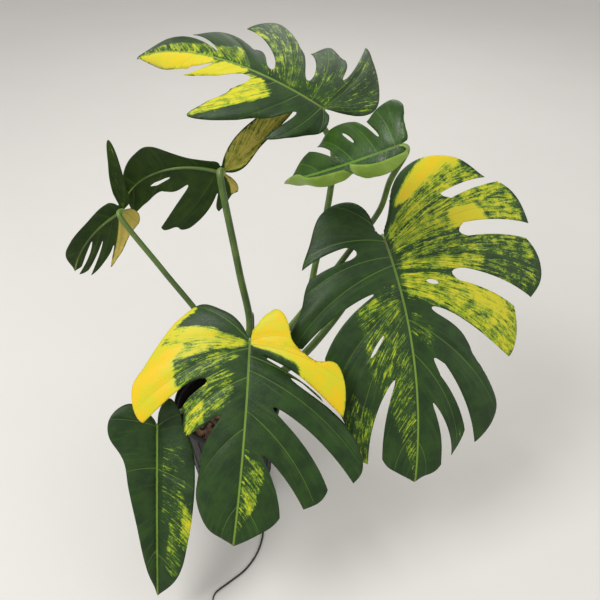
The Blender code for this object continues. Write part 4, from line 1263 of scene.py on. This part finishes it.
# %% Plastic finish
def pot_finish():
    material, tree, shader = start_material("pot_plastic", 0.42)
    fill_in(shader, Specular_IOR_Level=0.22)
    place = object_place(tree)
    grain = speckle(tree, place, 900, detail=2)
    dust = speckle(tree, place, (22, 22, 40), detail=6, roughness=0.65)
    scuff = speckle(tree, place, (90, 90, 8), detail=4)
    colour = blend_colours(tree, step_up(tree, dust, 0.52, 0.8), (0.006, 0.006, 0.007), (0.022, 0.02, 0.018))
    scuffed = times(tree, step_up(tree, scuff, 0.62, 0.75), 0.35)
    colour = blend_colours(tree, scuffed, colour, (0.04, 0.038, 0.036))
    surface(tree, shader, colour, grain, strength=0.12, depth=0.0004)
    fill_in(shader, Roughness=plus(tree, times(tree, dust, 0.3), 0.4))
    return material


pot_plastic = pot_finish()
shell.data.materials.append(pot_plastic)
print("made", pot_plastic.name)

# %% Geometry Nodes helpers
def start_tree(name, inputs):
    """A Geometry Nodes tree with named inputs. Returns the tree, its input node and its ends."""
    tree = bpy.data.node_groups.new(name, "GeometryNodeTree")
    tree.interface.new_socket("Geometry", in_out="INPUT", socket_type="NodeSocketGeometry")
    for label, (kind, value) in inputs.items():
        socket = tree.interface.new_socket(label, in_out="INPUT", socket_type=kind)
        if value is not None:
            socket.default_value = value
    tree.interface.new_socket("Geometry", in_out="OUTPUT", socket_type="NodeSocketGeometry")
    return tree, tree.nodes.new("NodeGroupInput"), tree.nodes.new("NodeGroupOutput")


def hand_over(tree, copies, given, result):
    """The last steps of every tree: real copies, with a material, as the result."""
    real = node(tree, "GeometryNodeRealizeInstances", Geometry=copies.outputs[0])
    dressed = node(tree, "GeometryNodeSetMaterial", Geometry=real.outputs[0])
    fill_in(dressed, Material=given.outputs["Material"])
    fill_in(result, i0=dressed.outputs[0])


def run_tree(tree, name, values, start_mesh=None):
    """Runs the tree on a mesh and returns the result as a plain mesh object."""
    obj = link(name, start_mesh or bpy.data.meshes.new(name))
    modifier = obj.modifiers.new("maker", "NODES")
    modifier.node_group = tree
    for item in tree.interface.items_tree:
        if item.item_type == "SOCKET" and item.in_out == "INPUT" and item.name in values:
            modifier[item.identifier] = values[item.name]
    return frozen(obj)


print("Geometry Nodes helpers are ready")

# %% Stiffening ribs
def rib_tree():
    tree, given, result = start_tree(
        "pot_ribs",
        {
            "Count": ("NodeSocketInt", 24), "Foot": ("NodeSocketVector", (0, 0, 0)),
            "Head": ("NodeSocketVector", (0, 0, 0)), "Radius": ("NodeSocketFloat", 0.001),
            "Material": ("NodeSocketMaterial", None),
        },
    )
    ends = {"Start": given.outputs["Foot"], "End": given.outputs["Head"]}
    line = node(tree, "GeometryNodeCurvePrimitiveLine", **ends)
    ring = node(tree, "GeometryNodeCurvePrimitiveCircle", Resolution=8, Radius=given.outputs["Radius"])
    bar = node(tree, "GeometryNodeCurveToMesh", Curve=line.outputs[0], Fill_Caps=True)
    fill_in(bar, Profile_Curve=ring.outputs[0])
    spots = node(tree, "GeometryNodeMeshLine", Count=given.outputs["Count"], Offset=(0, 0, 0))
    index = node(tree, "GeometryNodeInputIndex").outputs[0]
    turn = times(tree, maths(tree, "DIVIDE", index, given.outputs["Count"]), 2 * pi)
    euler = node(tree, "ShaderNodeCombineXYZ", Z=turn)
    copies = node(tree, "GeometryNodeInstanceOnPoints", Points=spots.outputs[0], Instance=bar.outputs[0])
    fill_in(copies, Rotation=euler.outputs[0])
    hand_over(tree, copies, given, result)
    return tree


RIBS, RIB_RADIUS, RIB_FOOT, RIB_SINK = 24, 0.0011, 0.012, 0.0002
pot_ribs = run_tree(
    rib_tree(), "pot_ribs",
    {
        "Count": RIBS, "Radius": RIB_RADIUS, "Material": pot_plastic,
        "Foot": (wall_radius(RIB_FOOT) - RIB_SINK, 0, RIB_FOOT),
        "Head": (wall_radius(band_foot) - RIB_SINK, 0, band_foot),
    },
)
print("the ribs have", len(pot_ribs.data.polygons), "faces")

# %% Join the pot
def join(name, objects):
    with bpy.context.temp_override(active_object=objects[0], selected_editable_objects=objects):
        bpy.ops.object.join()
    objects[0].name = name
    return objects[0]


pot = join("ribbed_pot", [shell, pot_ribs])
shade_smooth(pot.data)
pot.data.set_sharp_from_angle(angle=radians(34))
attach(pot, "root")
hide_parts("nursery_pot")
print(pot.name, len(pot.data.polygons), "faces")

# %% [markdown]
# Compost and bark
#
# The compost is dark and crumbly, with a scatter of brown bark. A lumpy disc gives the ground.
# Crumbs and chips repeat in their hundreds, so Geometry Nodes scatter one small lump and one chip
# over it, turned and sized at random from a fixed seed.

# %% The ground of the compost
COMPOST_GAP, FLOOR_GAP = 0.0012, 0.0008
CRUST, DISH = 0.002, 0.003
LUMP_SIZE, LUMP_HEIGHT, MIDDLE_HEIGHT = 0.012, 0.0016, 0.0014


def lumpy(place, size, height):
    return height * noise.fractal(Vector(place) / size, 0.6, 2.0, 4)


def compost_body():
    low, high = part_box("potting_soil")
    edge = wall_radius(high.z) - WALL - COMPOST_GAP
    form = bmesh.new()
    steps = 40
    sides = 120
    turn = np.linspace(0, 2 * pi, sides, endpoint=False)
    rings = [[form.verts.new((0, 0, high.z - CRUST + lumpy((0, 0, 0), LUMP_SIZE, MIDDLE_HEIGHT)))]]
    for k in range(1, steps + 1):
        r = edge * k / steps
        ring = []
        for t in turn:
            x, y = r * cos(t), r * sin(t)
            z = high.z - CRUST - DISH * (k / steps) ** 3 + lumpy((x, y, 0), LUMP_SIZE, LUMP_HEIGHT)
            ring.append(form.verts.new((x, y, z)))
        rings.append(ring)
    floor_edge = wall_radius(low.z) - WALL - FLOOR_GAP
    rings.append([form.verts.new((floor_edge * cos(t), floor_edge * sin(t), low.z)) for t in turn])
    rings.append([form.verts.new((0, 0, low.z))])
    return link("compost", skinned("compost", form, rings, sides)), edge


compost, compost_edge = compost_body()
print("the compost is", round(compost_edge * 2000), "mm across")

# %% Earth and bark finishes
def crumbly_finish(name, dark, light, size, roughness):
    material, tree, shader = start_material(name, roughness)
    place = object_place(tree)
    cloud = speckle(tree, place, size, detail=6, roughness=0.7)
    fibre = speckle(tree, place, (size * 9, size * 2.5, size * 9), detail=4, roughness=0.7)
    colour = blend_colours(tree, step_up(tree, cloud, 0.35, 0.68), dark, light)
    frayed = times(tree, step_up(tree, fibre, 0.55, 0.75), 0.5)
    colour = blend_colours(tree, frayed, colour, [1.7 * c for c in light])
    surface(tree, shader, colour, fibre, strength=0.8, depth=0.0012)
    return material


earth = crumbly_finish("earth", (0.012, 0.009, 0.007), (0.035, 0.024, 0.016), 110, 0.95)
bark = crumbly_finish("mulch_bark", (0.05, 0.024, 0.012), (0.17, 0.085, 0.042), 75, 0.85)
compost.data.materials.append(earth)
print("made", earth.name, "and", bark.name)

# %% A tree that scatters pieces
def scatter_tree(name, flat):
    """Lumps or chips on the faces that point up. flat squashes them into chips."""
    tree, given, result = start_tree(
        name,
        {
            "Size": ("NodeSocketFloat", 0.002), "Apart": ("NodeSocketFloat", 0.003),
            "Density": ("NodeSocketFloat", 1e5), "Seed": ("NodeSocketInt", 3),
            "Lift": ("NodeSocketFloat", 0.0), "Material": ("NodeSocketMaterial", None),
        },
    )
    normal = node(tree, "GeometryNodeInputNormal").outputs[0]
    upright = node(tree, "ShaderNodeSeparateXYZ", Vector=normal).outputs["Z"]
    above = {"data_type": "FLOAT", "operation": "GREATER_THAN"}
    facing = node(tree, "FunctionNodeCompare", above, i0=upright, i1=0.5)
    spots = node(tree, "GeometryNodeDistributePointsOnFaces", {"distribute_method": "POISSON"})
    fill_in(spots, Mesh=given.outputs["Geometry"], Selection=facing.outputs[0], Seed=given.outputs["Seed"])
    fill_in(spots, Distance_Min=given.outputs["Apart"], Density_Max=given.outputs["Density"])
    size = given.outputs["Size"]
    lump = node(tree, "GeometryNodeMeshIcoSphere", Radius=size, Subdivisions=2 if flat else 1)
    where = node(tree, "GeometryNodeInputPosition").outputs[0]
    scaled = node(tree, "ShaderNodeVectorMath", {"operation": "DIVIDE"}, i0=where, i1=size)
    wobble = node(tree, "ShaderNodeTexNoise", Scale=2.3, Detail=2.0, Vector=scaled.outputs[0])
    push = node(tree, "ShaderNodeVectorMath", {"operation": "SUBTRACT"}, i0=wobble.outputs["Color"])
    fill_in(push, i1=(0.5, 0.5, 0.5))
    push = node(tree, "ShaderNodeVectorMath", {"operation": "MULTIPLY"}, i0=push.outputs[0], i1=size)
    rough = node(tree, "GeometryNodeSetPosition", Geometry=lump.outputs[0], Offset=push.outputs[0])
    squash, tilt = ((1.5, 0.85, 0.3), 0.45) if flat else ((1, 1, 0.8), 1.5)
    shaped = node(tree, "GeometryNodeTransform", Geometry=rough.outputs[0], Scale=squash)
    copies = node(tree, "GeometryNodeInstanceOnPoints", Points=spots.outputs[0], Instance=shaped.outputs[0])
    turn = node(tree, "FunctionNodeRandomValue", {"data_type": "FLOAT_VECTOR"})
    fill_in(turn, i0=(-tilt, -tilt, -3.14), i1=(tilt, tilt, 3.14))
    grow = node(tree, "FunctionNodeRandomValue", {"data_type": "FLOAT"}, i2=0.45, i3=1.25)
    fill_in(copies, Rotation=turn.outputs[0], Scale=grow.outputs[1])
    up = node(tree, "ShaderNodeCombineXYZ", Z=given.outputs["Lift"])
    raised = node(tree, "GeometryNodeTranslateInstances", Instances=copies.outputs[0])
    fill_in(raised, Translation=up.outputs[0])
    hand_over(tree, raised, given, result)
    return tree


def scatter_patch(name, reach):
    """A copy of the compost's top, cut back from the wall, for the scatter to land on."""
    form = bmesh.new()
    form.from_mesh(compost.data)
    far = [f for f in form.faces if f.calc_center_median().xy.length > reach or f.normal.z < 0.3]
    bmesh.ops.delete(form, geom=far, context="FACES")
    return mesh_of(name, form)


crumbs = run_tree(
    scatter_tree("crumb_scatter", False), "crumbs",
    {"Size": 0.0016, "Apart": 0.0021, "Density": 3e5, "Seed": 4, "Lift": 0.0004, "Material": earth},
    scatter_patch("crumb_ground", compost_edge - 0.002),
)
chips = run_tree(
    scatter_tree("chip_scatter", True), "bark_mulch",
    {"Size": 0.0062, "Apart": 0.0085, "Density": 2e4, "Seed": 11, "Lift": 0.0018, "Material": bark},
    scatter_patch("chip_ground", compost_edge - 0.0095),
)
print("crumbs:", len(crumbs.data.polygons), "faces, chips:", len(chips.data.polygons), "faces")

# %% Compost and bark onto the plant
shade_smooth(compost.data)
compost = join("compost_fill", [compost, crumbs])
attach(compost, "root")
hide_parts("potting_soil")
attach(chips, "root")
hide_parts(*[f"bark_chip_{k}" for k in range(1, 6)])
print(compost.name, "and", chips.name)

# %% [markdown]
# The dry sheath
#
# Each new leaf unrolls from inside a sheath on the last petiole, which then dries to a red-brown
# skin. One is left on the left petiole. It is a strip that wraps part of the stalk, gets narrower
# and frays to a point, and it is meshed as a sheet and then given a little thickness.

# %% Sheath
# From this share of the petiole on, the sheath keeps one radius.
SHEATH_EVEN = 0.45
SHEATH_SPAN = (0.14, 0.46)
SHEATH_WRAP, SHEATH_TURN = radians(170), radians(25)
SHEATH_ROWS, SHEATH_COLUMNS = 60, 12
SHEATH_THICKNESS = 0.0004


def dry_sheath():
    knots = petiole_knots("petiole_left", SHEATH_GAP)
    share = np.linspace(*SHEATH_SPAN, SHEATH_ROWS)
    centre = smooth_path(knots, share * (len(knots) - 1))
    radius = stalk_radius("petiole_left", np.minimum(share, SHEATH_EVEN))
    along = unit(np.gradient(centre, axis=0))
    side = unit(np.cross(along, (0, 1, 0)))
    front = np.cross(side, along)
    wraps = np.linspace(1, 0.12, SHEATH_ROWS) * SHEATH_WRAP
    points, faces, uv = [], [], []
    for k in range(SHEATH_ROWS):
        for j, s in enumerate(np.linspace(-0.5, 0.5, SHEATH_COLUMNS + 1)):
            turn = s * wraps[k] * (1 + 0.07 * sin(k * 0.9 + j)) + SHEATH_TURN
            lift = radius[k] * 1.07 + 0.0007 + 0.0006 * abs(s) * (1 + sin(k * 0.5 + 3 * s))
            points.append(centre[k] + lift * (cos(turn) * -side[k] + sin(turn) * front[k]))
    for k in range(SHEATH_ROWS - 1):
        for j in range(SHEATH_COLUMNS):
            a = k * (SHEATH_COLUMNS + 1) + j
            faces.append((a, a + 1, a + SHEATH_COLUMNS + 2, a + SHEATH_COLUMNS + 1))
            uv += [(u / 900, v / 500) for u, v in ((j, k), (j + 1, k), (j + 1, k + 1), (j, k + 1))]
    mesh = bpy.data.meshes.new("dry_skin")
    mesh.from_pydata([tuple(p) for p in points], [], faces)
    mesh.uv_layers.new(name="skin").uv.foreach_set("vector", np.array(uv, np.float32).ravel())
    shade_smooth(mesh)
    obj = link("dry_skin", mesh)
    wall = obj.modifiers.new("thickness", "SOLIDIFY")
    wall.thickness = SHEATH_THICKNESS
    wall.offset = 0
    return frozen(obj)


def sheath_finish():
    material, tree, shader = start_material("dried_skin", 0.6)
    skin = uv_map(tree, "skin")
    fibres = speckle(tree, skin, (1500, 30, 1), detail=5, roughness=0.65)
    colour = blend_colours(tree, step_up(tree, fibres, 0.38, 0.66), (0.05, 0.012, 0.01), (0.2, 0.075, 0.035))
    surface(tree, shader, colour, fibres, strength=0.6, depth=0.0006)
    return material


sheath = dry_sheath()
sheath.data.materials.append(sheath_finish())
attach(sheath, "root")
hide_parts("dry_sheath")
print(sheath.name, len(sheath.data.polygons), "faces")

# %% [markdown]
# The loose root
#
# One aerial root has grown out at the pot's foot and trails over the edge of what the pot stands
# on. Here it lies along the surface. It is thin, dark and woody, thicker and thinner by turns.

# %% Root
ROOT_RADIUS, ROOT_CLEAR, ROOT_LIFT = 0.0016, 0.0006, 0.0004
ROOT_STEPS = 150
ROOT_POINTS = ((0.012, -0.040), (0.019, -0.076), (0.012, -0.112), (-0.006, -0.142), (-0.030, -0.163),
               (-0.051, -0.181), (-0.054, -0.200))


def loose_root():
    turn = radians(-55)
    start = (FOOT_RADIUS + ROOT_RADIUS + ROOT_CLEAR) * np.array([cos(turn), sin(turn)])
    knots = np.array([start, *(start + point for point in np.array(ROOT_POINTS))])
    path = smooth_path(knots, np.linspace(0, len(knots) - 1, ROOT_STEPS))
    share = np.linspace(0, 1, ROOT_STEPS)
    knobs = np.array([noise.noise(Vector((s * 60, 3, 1))) for s in share])
    size = ROOT_RADIUS * np.interp(share, (0, 0.8, 1), (1, 0.9, 0.35)) * (1 + 0.22 * knobs)
    return sweep_tube("loose_root", np.column_stack([path, size + ROOT_LIFT]), size, sides=12)


def root_finish():
    material, tree, shader = start_material("root_bark", 0.75)
    skin = uv_map(tree, "skin")
    grain = speckle(tree, skin, (1400, 160, 1), detail=5, roughness=0.65)
    colour = blend_colours(tree, step_up(tree, grain, 0.4, 0.68), (0.018, 0.011, 0.008), (0.07, 0.042, 0.026))
    surface(tree, shader, colour, grain, strength=0.7, depth=0.0005)
    return material


root = loose_root()
root.data.materials.append(root_finish())
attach(root, "root")
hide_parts("trailing_root")
print(root.name, "is", round(ROOT_RADIUS * 2000, 1), "mm thick")

# %% [markdown]
# The floor
#
# A plain pale floor carries the shadow. It is staging, and not a piece of the plant.

# %% Floor
floor_mesh = bpy.data.meshes.new("floor")
floor_mesh.from_pydata([(-8, -8, 0), (8, -8, 0), (8, 8, 0), (-8, 8, 0)], [], [(0, 1, 2, 3)])
floor = link("floor", floor_mesh)
material, tree, shader = start_material("pale_floor", 0.85)
place = object_place(tree)
shade = speckle(tree, place, 3, detail=3)
fill_in(shader, Base_Color=blend_colours(tree, shade, (0.66, 0.64, 0.61), (0.7, 0.68, 0.65)))
floor.data.materials.append(material)
floor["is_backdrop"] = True
print("the floor is", floor.dimensions.x, "m wide")

# %% Sizes and finish
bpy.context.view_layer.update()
polygons = [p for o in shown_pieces() if o.type == "MESH" for p in o.data.polygons]
print("triangles:", sum(len(p.vertices) - 2 for p in polygons))
